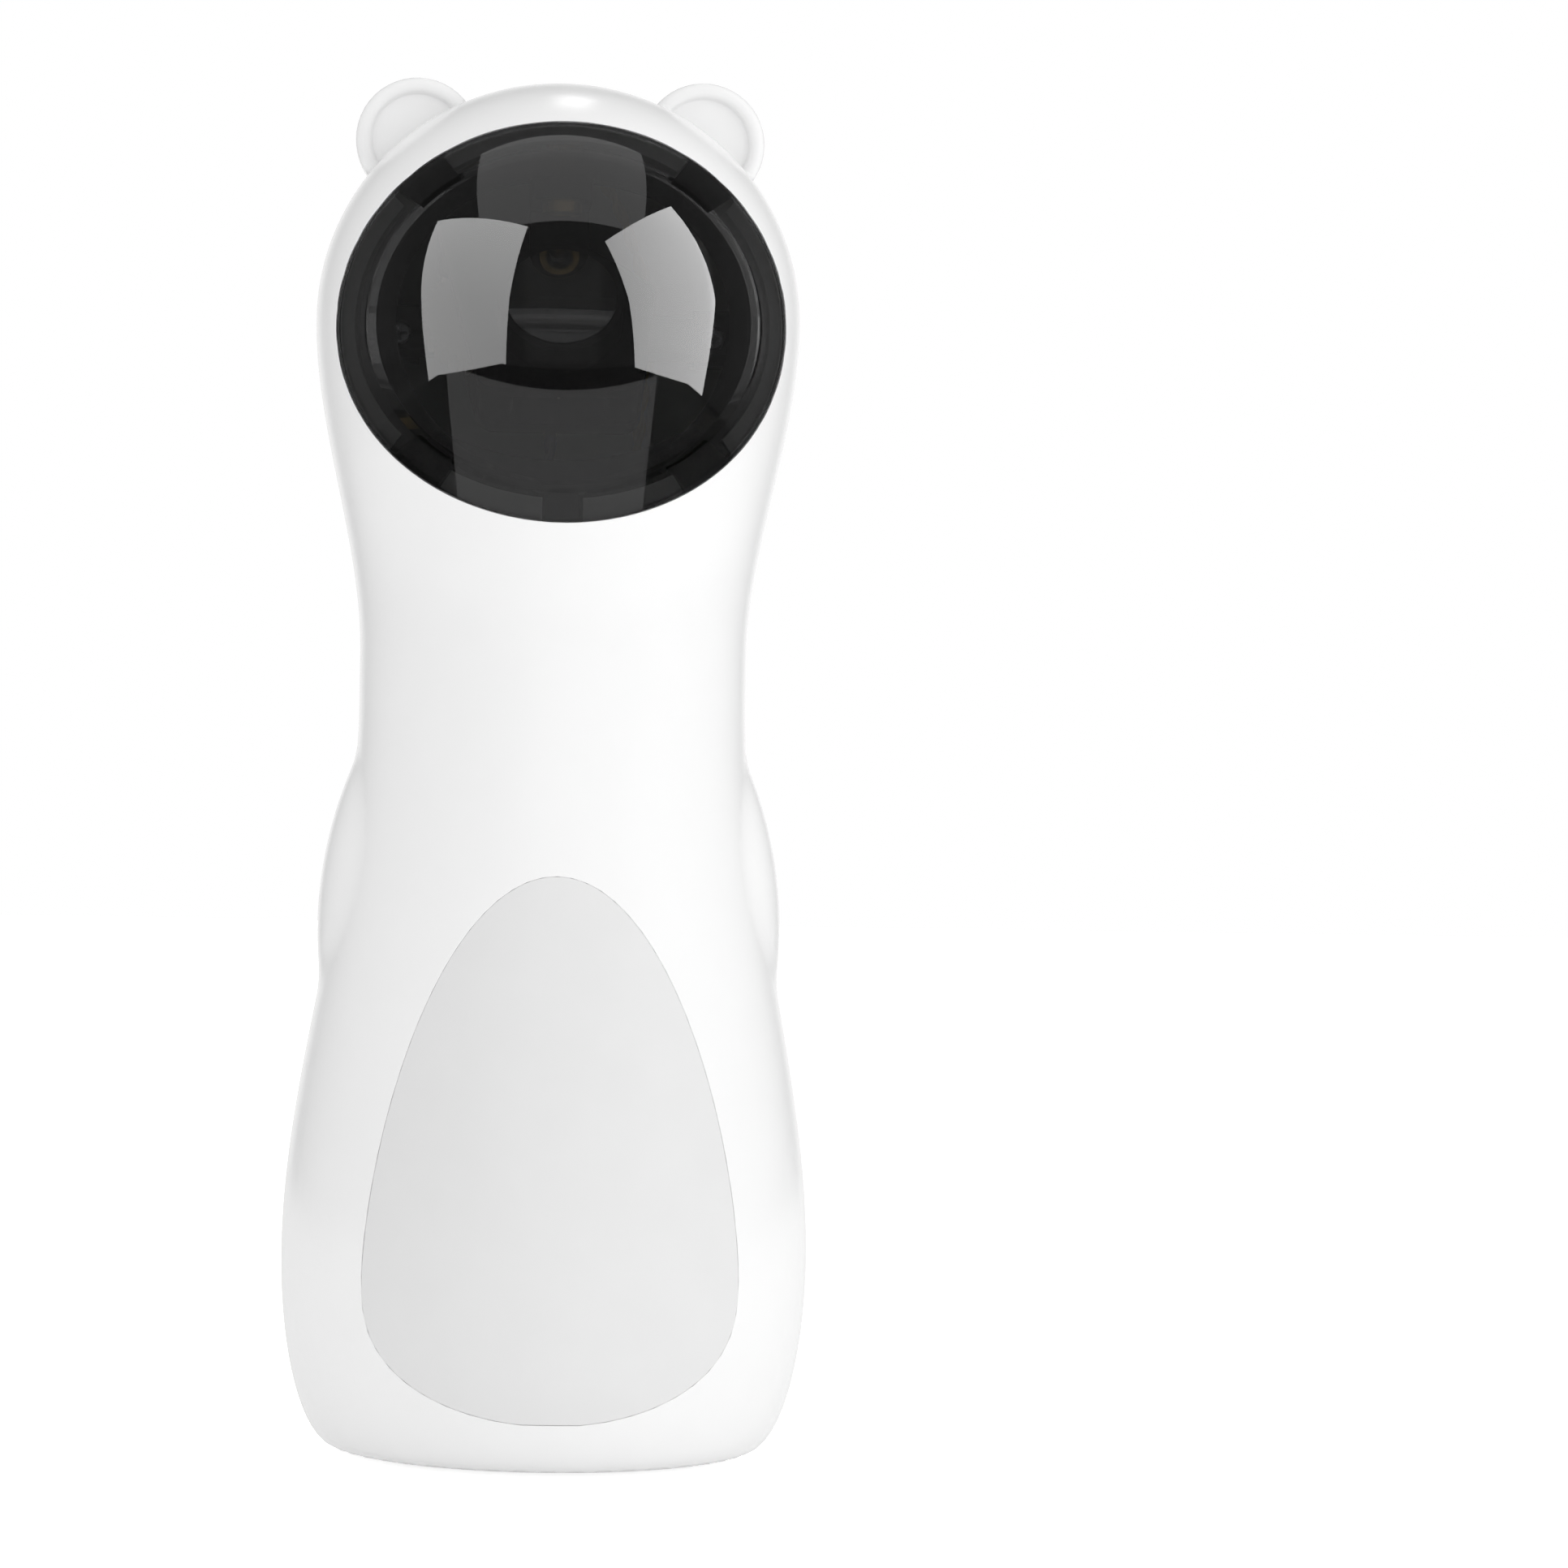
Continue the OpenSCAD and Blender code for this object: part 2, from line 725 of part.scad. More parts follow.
module battery_holder() {
    color(dark_plastic) difference() {
        union() {
            translate([0, 0, holder_low]) cylinder(r = holder_r, h = ceiling_low + ceiling_h - holder_low);
            translate([0, 0, holder_low]) cylinder(r = flange_r, h = flange_h);
        }
        translate([0, 0, holder_low - skim]) cylinder(r = holder_bore, h = ceiling_low - holder_low + skim);
        translate([-holder_bore - key_reach - fit, -key_w / 2 - fit, holder_low - skim])
            cube([2 * (holder_bore + key_reach + fit), key_w + 2 * fit, lower_sheet - holder_low + 2 * fit]);
        translate([cell_offset, 0, ceiling_low - skim]) cylinder(d = lead_d + 2 * fit, h = far);
        for (a = [0:90:270]) {
            rotate([0, 0, a]) translate([plate_screw_r, 0, 0]) cylinder(d = small_d + 2 * fit, h = far / 8);
        }
    }
}

module holder_screws() {
    color(steel) for (a = [0:90:270]) {
        rotate([0, 0, a]) translate([plate_screw_r, 0, holder_low + flange_h])
            screw(small_d, small_head_d, small_head_h, flange_h + plate_screw_grip - fit);
    }
}

module contact_disc() {
    color(dark_plastic) translate([0, 0, disc_low]) union() {
        cylinder(r = holder_bore - fit, h = disc_h);
        translate([-holder_bore - key_reach, -key_w / 2, 0])
            cube([2 * (holder_bore + key_reach), key_w, disc_h]);
    }
}

// Cells stand in a square; the first and third stand nub up
function cell_place(i) = polar(cell_offset * sqrt(2), 45 + 90 * i);
function nub_up(i) = i % 2 == 0;

module battery_cells() {
    color([0.25, 0.33, 0.30]) for (i = [0:3]) {
        can_h = cell_len - nub_h;
        low = nub_up(i) ? cells_low + cell_spring : cells_low + nub_h;
        nub_low = nub_up(i) ? low + can_h - skim : cells_low;
        translate(concat(cell_place(i), [0])) union() {
            translate([0, 0, low]) cylinder(d = cell_d, h = can_h);
            translate([0, 0, nub_low]) cylinder(d = nub_d, h = nub_h + skim);
        }
    }
}

// A flat sheet with round ends that joins two cells
module bridge(from, to, z) {
    span = norm(to - from);
    middle = (from + to) / 2;
    turn = atan2(to[1] - from[1], to[0] - from[0]);
    translate([middle[0], middle[1], z]) rotate([0, 0, turn]) union() {
        translate([-span / 2, -sheet_w / 2, 0]) cube([span, sheet_w, contact_thick]);
        for (x = [-span / 2, span / 2]) translate([x, 0, 0]) cylinder(d = sheet_w, h = contact_thick);
    }
}

module lower_contacts() {
    color(steel) union() {
        bridge(cell_place(0), cell_place(1), lower_sheet);
        bridge(cell_place(2), cell_place(3), lower_sheet);
    }
}

module upper_contacts() {
    color(steel) union() {
        bridge(cell_place(1), cell_place(2), upper_sheet);
        for (i = [0, 3]) {
            side = cell_place(i)[1] > 0 ? 1 : -1;
            translate([cell_offset, cell_place(i)[1], upper_sheet]) cylinder(d = sheet_w, h = contact_thick);
            translate([cell_offset - tail_w / 2, side > 0 ? 2 * fit : -cell_offset, upper_sheet])
                cube([tail_w, cell_offset - 2 * fit, contact_thick]);
        }
    }
}

// ---- Tubes along a path: springs and leads ----

function unit(v) = v / norm(v);
// A closed tube over rings of points that run right-handed round the way the tube goes
module ringed(rings, sides) {
    n = len(rings) / sides;
    last = (n - 1) * sides;
    walls = [
        for (i = [0:n - 2])
            for (k = [0:sides - 1])
                let (a = i * sides + k, b = i * sides + (k + 1) % sides)
                for (face = [[a + sides, b, a], [a + sides, b + sides, b]]) face
    ];
    ends = [
        for (k = [1:sides - 2])
            for (face = [[k, k + 1, 0], [last + k + 1, last + k, last]]) face
    ];
    polyhedron(points = rings, faces = concat(walls, ends), convexity = 6);
}
// A tube through every point of a path, with the same number of sides all along
module tube(path, d, sides) {
    n = len(path);
    ringed([
        for (i = [0:n - 1])
            let (
                along = unit(path[min(i + 1, n - 1)] - path[max(i - 1, 0)]),
                u = unit(cross(along, [1, 0, 0.001])),
                v = cross(along, u)
            )
            for (k = [0:sides - 1]) path[i] + d / 2 * (u * cos(360 * k / sides) + v * sin(360 * k / sides))
    ], sides);
}
// A tube round an upright axis, whose rings stand square to the turn
module coil(path, middle, d, sides) {
    ringed([
        for (p = path)
            let (out = unit([p[0] - middle[0], p[1] - middle[1], 0]))
            for (k = [0:sides - 1])
                p + d / 2 * ([0, 0, cos(360 * k / sides)] + out * sin(360 * k / sides))
    ], sides);
}

// A smooth curve through hand-picked points, straight between its first two and its last two
function bend(a, b, c, d, t) =
    0.5 * ((2 * b) + (c - a) * t + (2 * a - 5 * b + 4 * c - d) * t * t + (3 * b - a - 3 * c + d) * t * t * t);
function curve(p, steps) = concat(
    [p[0]],
    [
        for (i = [1:len(p) - 3])
            for (k = [0:steps - 1])
                bend(p[i - 1], p[i], p[i + 1], p[i + 2], k / steps)
    ],
    [p[len(p) - 2], p[len(p) - 1]]
);

spring_r = 3.2;
spring_steps = 12;
spring_sides = 6;
module cell_springs() {
    rise = cell_spring - spring_wire;
    color(steel) for (i = [0:3]) {
        low = nub_up(i) ? cells_low : cells_top - cell_spring;
        path = [
            for (k = [0:spring_steps * spring_turns])
                let (a = 360 * k / spring_steps, u = k / (spring_steps * spring_turns))
                concat(
                    cell_place(i) + polar(spring_r, a),
                    [low + spring_wire / 2 + rise * u]
                )
        ];
        coil(path, cell_place(i), spring_wire, spring_sides);
    }
}

// ---- Main board and controls ----

flange_thick = 1.2;
button_flange_r = button_d / 2 + button_flange;
flange_front = inside_y(button_z + button_flange_r) - swing;
flange_rear = flange_front - flange_thick;
switch_side = 6;
switch_h = 2.4;
plunger_d = 3.4;
plunger_proud = 0.9;
plunger_sunk = 0.8;
board_back = flange_rear - switch_h - plunger_proud;
board_front = board_back - board_thick;
// Distance of the board's screws from its edges, and of its upper ones from its top
board_screw_in = 3;
board_screw_down = 3.5;
board_screw_x = board_w / 2 - board_screw_in;
board_screw_rows = [board_low + board_screw_in, board_low + board_h - board_screw_down];
board_grip = 3.5;
button_tip = case_r(button_z) + button_proud;
button_chamfer = 0.5;
inlet_sunk = 0.7;
inlet_front = case_r(inlet_z) - inlet_sunk;
inlet_wall = 0.3;
chip_low = board_low + board_h / 4;
can_z = board_low + board_h * 0.39;
led_h = 1;
led_w = 3;
plug_low = 58;
plug_x = 8;
lead_y = board_front - plug_depth / 2;
plug_top = plug_low + plug_side;

// A slot with round ends, drawn from the back
module slot_shape(w, h) {
    square([w - h, h], center = true);
    for (side = [-1, 1]) translate([side * (w - h) / 2, 0]) circle(d = h);
}
// Runs a shape drawn on the middle line backwards, at height z
module backwards_at(z, from, to) {
    translate([0, from, z]) rotate([-90, 0, 0]) linear_extrude(to - from) children();
}

module rear_bosses() {
    for (p = screw_places) bar_y(rear_boss_r, p[0], p[1], 0, far / 4);
    for (side = [-1, 1]) {
        bar_y(small_boss_r, side * frame_screw_x, frame_screw_z, frame_seat_y, far / 4);
        for (z = board_screw_rows) bar_y(small_boss_r, side * board_screw_x, z, board_back, far / 4);
    }
}

module rear_shell() {
    color(case_white) difference() {
        union() {
            difference() {
                union() {
                    filled(0, 180);
                    arms();
                    for (side = [-1, 1]) ear(side);
                }
                filled(wall);
            }
            intersection() {
                filled(wall / 2);
                rear_bosses();
            }
        }
        translate([0, 0, -skim]) cylinder(r = floor_r, h = foot_proud + wall + 2 * skim);
        for (p = screw_places) {
            bar_y(screw_d / 2 + 2 * fit, p[0], p[1], -skim, far / 4);
            bar_y(screw_head_d / 2 + swing, p[0], p[1], head_seat_y, far / 4);
        }
        for (side = [-1, 1]) {
            bar_y(small_d / 2 + running, side * frame_screw_x, frame_screw_z, 0, frame_seat_y + frame_grip);
            for (z = board_screw_rows) {
                bar_y(small_d / 2 + running, side * board_screw_x, z, 0, board_back + board_grip);
            }
        }
        bar_y(button_d / 2 + 2 * fit, 0, button_z, 0, far / 4);
        bar_y(light_d / 2 + running, 0, light_z, 0, far / 4);
        backwards_at(inlet_z, 0, far / 4) slot_shape(inlet_w + 4 * fit, inlet_h + 4 * fit);
    }
}

module main_board() {
    color(board_green) difference() {
        translate([-board_w / 2, board_front, board_low]) cube([board_w, board_thick, board_h]);
        for (side = [-1, 1])
            for (z = board_screw_rows) bar_y(small_d / 2 + fit, side * board_screw_x, z, 0, far / 4);
    }
}

module board_parts() {
    color(dark_plastic) union() {
        translate([-chip_side / 2, board_front - chip_h, chip_low]) cube([chip_side, chip_h, chip_side]);
        bar_y(can_d / 2, -plug_x, can_z, board_front - can_h, board_front);
        for (x = [-plug_x, 0, plug_x]) {
            translate([x - plug_side / 2, board_front - plug_depth, plug_low])
                cube([plug_side, plug_depth, plug_side]);
        }
    }
}

module board_screws() {
    color(steel) for (side = [-1, 1]) for (z = board_screw_rows) {
        translate([side * board_screw_x, board_front, z]) rotate([90, 0, 0])
            screw(small_d, small_head_d, small_head_h, board_thick + board_grip - fit);
    }
}

module tact_switch() {
    color(dark_plastic) difference() {
        translate([-switch_side / 2, board_back, button_z - switch_side / 2])
            cube([switch_side, switch_h, switch_side]);
        bar_y(plunger_d / 2 + running, 0, button_z,
            board_back + switch_h - plunger_sunk - button_travel - fit, far / 4);
    }
}

module switch_plunger() {
    color(panel_grey) bar_y(plunger_d / 2, 0, button_z, board_back + switch_h - plunger_sunk, flange_rear);
}

module power_button() {
    color(panel_grey) union() {
        bar_y(button_d / 2, 0, button_z, flange_rear, button_tip - button_chamfer);
        translate([0, button_tip - button_chamfer - skim, button_z]) rotate([-90, 0, 0])
            cylinder(d1 = button_d, d2 = button_d - 2 * button_chamfer, h = button_chamfer + skim);
        bar_y(button_flange_r, 0, button_z, flange_rear, flange_front);
    }
}

module power_inlet() {
    color(steel) difference() {
        backwards_at(inlet_z, board_back, inlet_front) slot_shape(inlet_w, inlet_h);
        backwards_at(inlet_z, board_back - skim, inlet_front + skim)
            slot_shape(inlet_w - 2 * inlet_wall, inlet_h - 2 * inlet_wall);
    }
}

module inlet_core() {
    tongue_w = 6.7;
    tongue_h = 0.7;
    tongue_back = 0.8;
    socket_depth = 6.5;
    color(dark_plastic) union() {
        backwards_at(inlet_z, board_back, inlet_front - socket_depth)
            slot_shape(inlet_w - 2 * inlet_wall, inlet_h - 2 * inlet_wall);
        backwards_at(inlet_z, board_back, inlet_front - tongue_back)
            square([tongue_w, tongue_h], center = true);
    }
}

module status_led() {
    color([0.9, 0.9, 0.8]) translate([-led_w / 2, board_back, light_z - led_w / 2])
        cube([led_w, led_h, led_w]);
}

module light_pipe() {
    collar = 0.8;
    collar_h = 1;
    collar_back = inside_y(light_z + light_d / 2 + collar) - 4 * fit;
    color([0.85, 0.9, 0.95]) union() {
        bar_y(light_d / 2, 0, light_z, board_back + led_h + fit, case_r(light_z) - fit);
        bar_y(light_d / 2 + collar, 0, light_z, collar_back - collar_h, collar_back);
    }
}

// ---- Mirror drive, built on the turntable's axis ----

// The axis leans halfway between straight up, where the laser is, and the beam's way out
axis_up = (90 - beam_drop) / 2;
mirror_z = head_z + mirror_up;
// Puts what is made round +Z onto the turntable's axis, with 0 at the mirror's centre
module on_axis() {
    translate([0, -mirror_y, mirror_z]) rotate([90 - axis_up, 0, 0]) children();
}
// Where a point of that frame lies in the part
function from_axis(p) = [
    p[0],
    -mirror_y + p[1] * sin(axis_up) - p[2] * cos(axis_up),
    mirror_z + p[1] * cos(axis_up) + p[2] * sin(axis_up)
];

table_wall = 1.2;
turntable_r = mirror_d / 2 + table_wall;
turntable_h = 7;
// How far the turntable's cup reaches past the mirror's centre, and how deep the shaft goes in
cup_h = 3;
shaft_grip = 3;
cover_top = -turntable_h - swing - fit;
cover_low = cover_top - gearbox_plate;
first_top = cover_low - swing;
first_low = first_top - gear_w;
second_top = first_low - swing;
second_low = second_top - gear_w;
frame_top = second_low - swing;
frame_low = frame_top - gearbox_plate;

// Gear centres: output, intermediate and motor
gear_distance = gear_module * (wheel_teeth + pinion_teeth) / 2;
middle_way = 150;
motor_way = 30;
output_at = [0, 0];
middle_at = polar(gear_distance, middle_way);
motor_at = middle_at + polar(gear_distance, motor_way);

// Tooth shape: a little shorter than the standard one, so that small pinions run free
pressure = 25;
tip_height = 0.75;
root_depth = 1.05;
flank_steps = 4;

function wheel_r(teeth) = gear_module * teeth / 2;
function base_circle(teeth) = wheel_r(teeth) * cos(pressure);
// Angle that the involute has turned through at radius r, in degrees
function involute(base, r) = let (a = acos(min(1, base / r))) tan(a) * 180 / PI - a;
// Half the angle of a tooth at radius r
function half_tooth(teeth, r) =
    let (pitch_r = wheel_r(teeth), base = base_circle(teeth))
    90 / teeth - backlash / 2 / pitch_r * 90 / PI
        + involute(base, pitch_r) - involute(base, max(r, base));
module gear_shape(teeth) {
    root = wheel_r(teeth) - root_depth * gear_module;
    tip = wheel_r(teeth) + tip_height * gear_module;
    flank = [for (i = [0:flank_steps - 1]) root + (tip - root) * i / (flank_steps - 1)];
    polygon([
        for (k = [0:teeth - 1])
            for (side = [-1, 1])
                for (r = side < 0 ? flank : backwards(flank))
                    polar(r, 360 * k / teeth + side * half_tooth(teeth, r))
    ]);
}
// One gear between two heights, with a tooth in the direction toward
module gear(teeth, low, high, toward) {
    translate([0, 0, low]) rotate([0, 0, toward]) linear_extrude(high - low) gear_shape(teeth);
}
// A pinion shows a gap where the wheel that drives it shows a tooth
function gap_toward(a) = a + 180 + 180 / pinion_teeth;

wheel_tip = wheel_r(wheel_teeth) + tip_height * gear_module;
press = 0.01;
post_gap = 0.8;
post_out = wheel_tip + small_boss_r + post_gap;
post_places = [
    output_at + polar(post_out, -45),
    output_at + polar(post_out, -135),
    output_at + polar(post_out, 30),
    middle_at + polar(post_out, 110)
];
post_grip = 6;
bush_wall = 1;
bush_r = shaft_d / 2 + bush_wall;
// What a blind bearing hole leaves of its plate
blind = 0.6;
shaft_top = -turntable_h + shaft_grip;
shaft_bottom = frame_low + blind;
motor_boss_r = 2.5;
motor_boss_h = 1;
motor_back = 1;

module output_gear() {
    color(gear_cream) on_axis() difference() {
        gear(wheel_teeth, first_low, first_top, middle_way);
        translate([0, 0, -far / 2]) cylinder(r = shaft_d / 2 + press, h = far);
    }
}

module intermediate_gear() {
    color(gear_cream) on_axis() translate(concat(middle_at, [0])) difference() {
        union() {
            gear(pinion_teeth, second_top - skim, first_top, gap_toward(middle_way));
            gear(wheel_teeth, second_low, second_top, motor_way);
        }
        translate([0, 0, -far / 2]) cylinder(r = pin_d / 2 + running, h = far);
    }
}

module motor_pinion() {
    color(brass) on_axis() translate(concat(motor_at, [0])) difference() {
        gear(pinion_teeth, second_low, second_top, gap_toward(motor_way));
        translate([0, 0, -far / 2]) cylinder(r = pin_d / 2 + press, h = far);
    }
}

module motor_shaft() {
    low = frame_low - motor_len + 2 * motor_back;
    color(steel) on_axis() translate(concat(motor_at, [low])) cylinder(d = pin_d, h = second_top - low);
}

module drive_shaft() {
    color(steel) on_axis() translate([0, 0, shaft_bottom])
        cylinder(d = shaft_d, h = shaft_top - shaft_bottom);
}

module intermediate_pin() {
    color(steel) on_axis() translate(concat(middle_at, [frame_low + blind]))
        cylinder(d = pin_d, h = cover_top - frame_low - 2 * blind);
}

module shaft_bush() {
    color(brass) on_axis() difference() {
        translate([0, 0, cover_low]) cylinder(r = bush_r, h = gearbox_plate);
        translate([0, 0, -far / 2]) cylinder(r = shaft_d / 2 + running, h = far);
    }
}

module turntable() {
    rim = 0.8;
    color(dark_plastic) on_axis() difference() {
        translate([0, 0, -turntable_h]) cylinder(r = turntable_r, h = turntable_h + cup_h);
        translate([0, 0, -mirror_thick + rim]) rotate([mirror_tilt, 0, 0])
            translate([-far / 2, -far / 2, 0]) cube(far);
        translate([0, 0, -mirror_thick]) rotate([mirror_tilt, 0, 0])
            cylinder(d = mirror_d + 2 * fit, h = mirror_thick + cup_h);
        translate([0, 0, -turntable_h - skim]) cylinder(r = shaft_d / 2 + press, h = shaft_grip + skim);
    }
}

module mirror() {
    color([0.92, 0.94, 0.96]) on_axis() translate([0, 0, -mirror_thick]) rotate([mirror_tilt, 0, 0])
        cylinder(d = mirror_d, h = mirror_thick);
}

// The frame's tabs and the screws that hold them to the rear shell
frame_bar_low = 2;
frame_bar_high = 10;
tab_w = 2 * small_boss_r + 1;
frame_screw_in = 11.2;
frame_screw_x = head_r - wall - frame_screw_in;
frame_seat_y = 14;
tab_y = 5;
tab_h = 9;
tab_sink = 2;
frame_screw_down = 5;
frame_screw_z = mirror_z - frame_screw_down;
frame_grip = 8;
// Rim of the gearbox plates round their posts, and round the motor's boss
post_rim = 0.6;
motor_rim = 3;

module plate_outline() {
    hull() {
        for (p = post_places) translate(p) circle(r = small_boss_r + post_rim, $fn = 32);
        translate(motor_at) circle(r = motor_boss_r + motor_rim, $fn = 32);
    }
}

module gearbox_frame() {
    color(dark_plastic) difference() {
        union() {
            on_axis() translate([0, 0, frame_low]) linear_extrude(gearbox_plate) plate_outline();
            on_axis() translate([-frame_screw_x - tab_w / 2, frame_bar_low, frame_low])
                cube([2 * frame_screw_x + tab_w, frame_bar_high - frame_bar_low, gearbox_plate]);
            for (side = [-1, 1]) {
                translate([side * frame_screw_x - tab_w / 2, tab_y, frame_screw_z - tab_h / 2])
                    cube([tab_w, frame_seat_y - fit - tab_y, tab_h]);
            }
        }
        on_axis() {
            translate([0, 0, shaft_bottom - fit]) cylinder(r = shaft_d / 2 + running, h = far);
            translate(concat(middle_at, [frame_low + blind])) cylinder(r = pin_d / 2 + press, h = far);
            translate(concat(motor_at, [frame_low - skim])) cylinder(r = motor_boss_r + fit, h = far);
            for (p = post_places)
                translate(concat(p, [frame_low - skim])) cylinder(r = small_d / 2 + fit, h = far);
        }
        for (side = [-1, 1]) {
            bar_y(small_d / 2 + fit, side * frame_screw_x, frame_screw_z, 0, far);
            bar_y(small_head_d / 2 + fit, side * frame_screw_x, frame_screw_z, 0, tab_y + tab_sink);
        }
    }
}

module frame_screws() {
    color(steel) for (side = [-1, 1]) {
        translate([side * frame_screw_x, tab_y + tab_sink, frame_screw_z]) rotate([90, 0, 0])
            screw(small_d, small_head_d, small_head_h, frame_seat_y - tab_y - tab_sink + frame_grip - fit);
    }
}

// The cover stands on posts and carries the laser's arm
laser_low = mirror_z + laser_up;
laser_show = 2;
arm_low = laser_low + laser_show;
arm_h = 5;
arm_half_w = laser_d / 2 + boss_wall;
column_y = 1;
column_t = 4;

module gearbox_cover() {
    color(dark_plastic) difference() {
        union() {
            on_axis() translate([0, 0, cover_low]) linear_extrude(gearbox_plate) plate_outline();
            on_axis() for (p = post_places)
                translate(concat(p, [frame_top])) cylinder(r = small_boss_r, h = cover_top - frame_top);
            intersection() {
                translate([-arm_half_w, column_y, mirror_z])
                    cube([2 * arm_half_w, column_t, arm_low + arm_h - mirror_z]);
                on_axis() translate([-far / 2, -far / 2, cover_low]) cube(far);
            }
            translate([-arm_half_w, -mirror_y, arm_low])
                cube([2 * arm_half_w, mirror_y + column_y + column_t, arm_h]);
            translate([0, -mirror_y, arm_low]) cylinder(r = arm_half_w, h = arm_h);
        }
        on_axis() {
            translate([0, 0, -far / 2]) cylinder(r = bush_r + press, h = far / 2);
            translate(concat(middle_at, [cover_low - skim]))
                cylinder(r = pin_d / 2 + press, h = gearbox_plate - blind);
            for (p = post_places)
                translate(concat(p, [frame_top - skim])) cylinder(r = small_d / 2 + running, h = post_grip);
        }
        translate([0, -mirror_y, arm_low - skim]) cylinder(r = laser_d / 2 + fit / 2, h = arm_h + 2 * skim);
    }
}

module gearbox_screws() {
    color(steel) on_axis() for (p = post_places) {
        translate(concat(p, [frame_low])) rotate([180, 0, 0])
            screw(small_d, small_head_d, small_head_h, gearbox_plate + post_grip - fit);
    }
}

module drive_motor() {
    color(steel) on_axis() translate(concat(motor_at, [frame_low])) difference() {
        union() {
            intersection() {
                translate([0, 0, -motor_len]) cylinder(d = motor_d, h = motor_len);
                translate([-motor_flat / 2, -motor_d, -motor_len]) cube([motor_flat, 2 * motor_d, motor_len]);
            }
            translate([0, 0, -skim]) cylinder(r = motor_boss_r, h = motor_boss_h + skim);
        }
        translate([0, 0, motor_back - motor_len]) cylinder(r = pin_d / 2 + running, h = far);
    }
}

lens_r = laser_d / 2 - 1;
lens_h = 1;
lens_lip = 0.6;
// The barrel's solid upper part, and the narrower end that the lead leaves
diode_h = 4;
tail_h = 1;
tail_in = 0.5;
laser_top = laser_low + laser_len + tail_h;

module laser_barrel() {
    color(brass) translate([0, -mirror_y, laser_low]) difference() {
        union() {
            cylinder(d = laser_d, h = laser_len);
            translate([0, 0, laser_len - skim]) cylinder(d = laser_d - 2 * tail_in, h = tail_h + skim);
        }
        translate([0, 0, -skim]) cylinder(r = lens_r - lens_lip, h = laser_len - diode_h);
        translate([0, 0, -skim]) cylinder(r = lens_r + press, h = lens_h + fit + skim);
    }
}

module laser_lens() {
    color([0.85, 0.9, 0.95]) translate([0, -mirror_y, laser_low + fit]) cylinder(r = lens_r, h = lens_h);
}

// ---- Leads: each runs from its part to a plug on the main board ----

motor_tail = from_axis(concat(motor_at, [frame_low - motor_len]));
battery_path = [
    [cell_offset, 0, ceiling_low], [cell_offset, 0, 70], [6, 3, 77], [-2, 14, 83],
    [-plug_x, 22, 84], [-plug_x, lead_y, 76], [-plug_x, lead_y, plug_top]
];
motor_path = [
    motor_tail, motor_tail + 3 * [0, cos(axis_up), -sin(axis_up)], [0, 30, 166], [0, 26, 148],
    [0, 24, 125], [0, 25, 95], [0, lead_y, 75], [0, lead_y, plug_top]
];
laser_path = [
    [0, -mirror_y, laser_top], [0, -mirror_y, laser_top + 2], [1, -5, laser_top + 4],
    [4, 6, laser_top + 1], [11, 18, laser_top - 8], [16, 25, laser_top - 23], [15, 26, 168],
    [13, 24, 145], [12, 22, 122], [11, 24, 95], [plug_x, lead_y, 75], [plug_x, lead_y, plug_top]
];
lead_sides = 8;
lead_steps = 3;

module battery_lead() {
    color([0.7, 0.1, 0.1]) tube(curve(battery_path, lead_steps), lead_d, lead_sides);
}

module motor_lead() {
    color([0.15, 0.25, 0.6]) tube(curve(motor_path, lead_steps), lead_d, lead_sides);
}

module laser_lead() {
    color([0.75, 0.6, 0.1]) tube(curve(laser_path, lead_steps), lead_d, lead_sides);
}

front_shell();
rear_shell();
belly_panel();
visor();
inner_mask();
mask_screws();
case_screws();
base_plate();
rubber_feet();
battery_cap();
battery_holder();
holder_screws();
battery_cells();
contact_disc();
lower_contacts();
upper_contacts();
cell_springs();
main_board();
board_parts();
board_screws();
tact_switch();
switch_plunger();
power_button();
power_inlet();
inlet_core();
status_led();
light_pipe();
gearbox_frame();
gearbox_cover();
gearbox_screws();
frame_screws();
drive_motor();
motor_shaft();
motor_pinion();
intermediate_gear();
intermediate_pin();
output_gear();
drive_shaft();
shaft_bush();
turntable();
mirror();
laser_barrel();
laser_lens();
battery_lead();
motor_lead();
laser_lead();
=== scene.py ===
"""Looks of the automatic cat laser toy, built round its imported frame.

The two halves of the white case keep their exact solids inside, and their outer skin
is laid again on its true curve. The smoked visor and the grey belly panel are curved
covers made by one node tree. Leads, springs and screws are swept or repeated by trees
of their own. Sizes are in millimetres; meshes are in metres.
"""

import json
import logging
import math
from collections.abc import Iterable, Iterator
from dataclasses import dataclass, field
from enum import Enum
from functools import partialmethod

import bmesh
import bpy
import numpy as np
from mathutils import Euler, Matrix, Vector
from mathutils.geometry import delaunay_2d_cdt


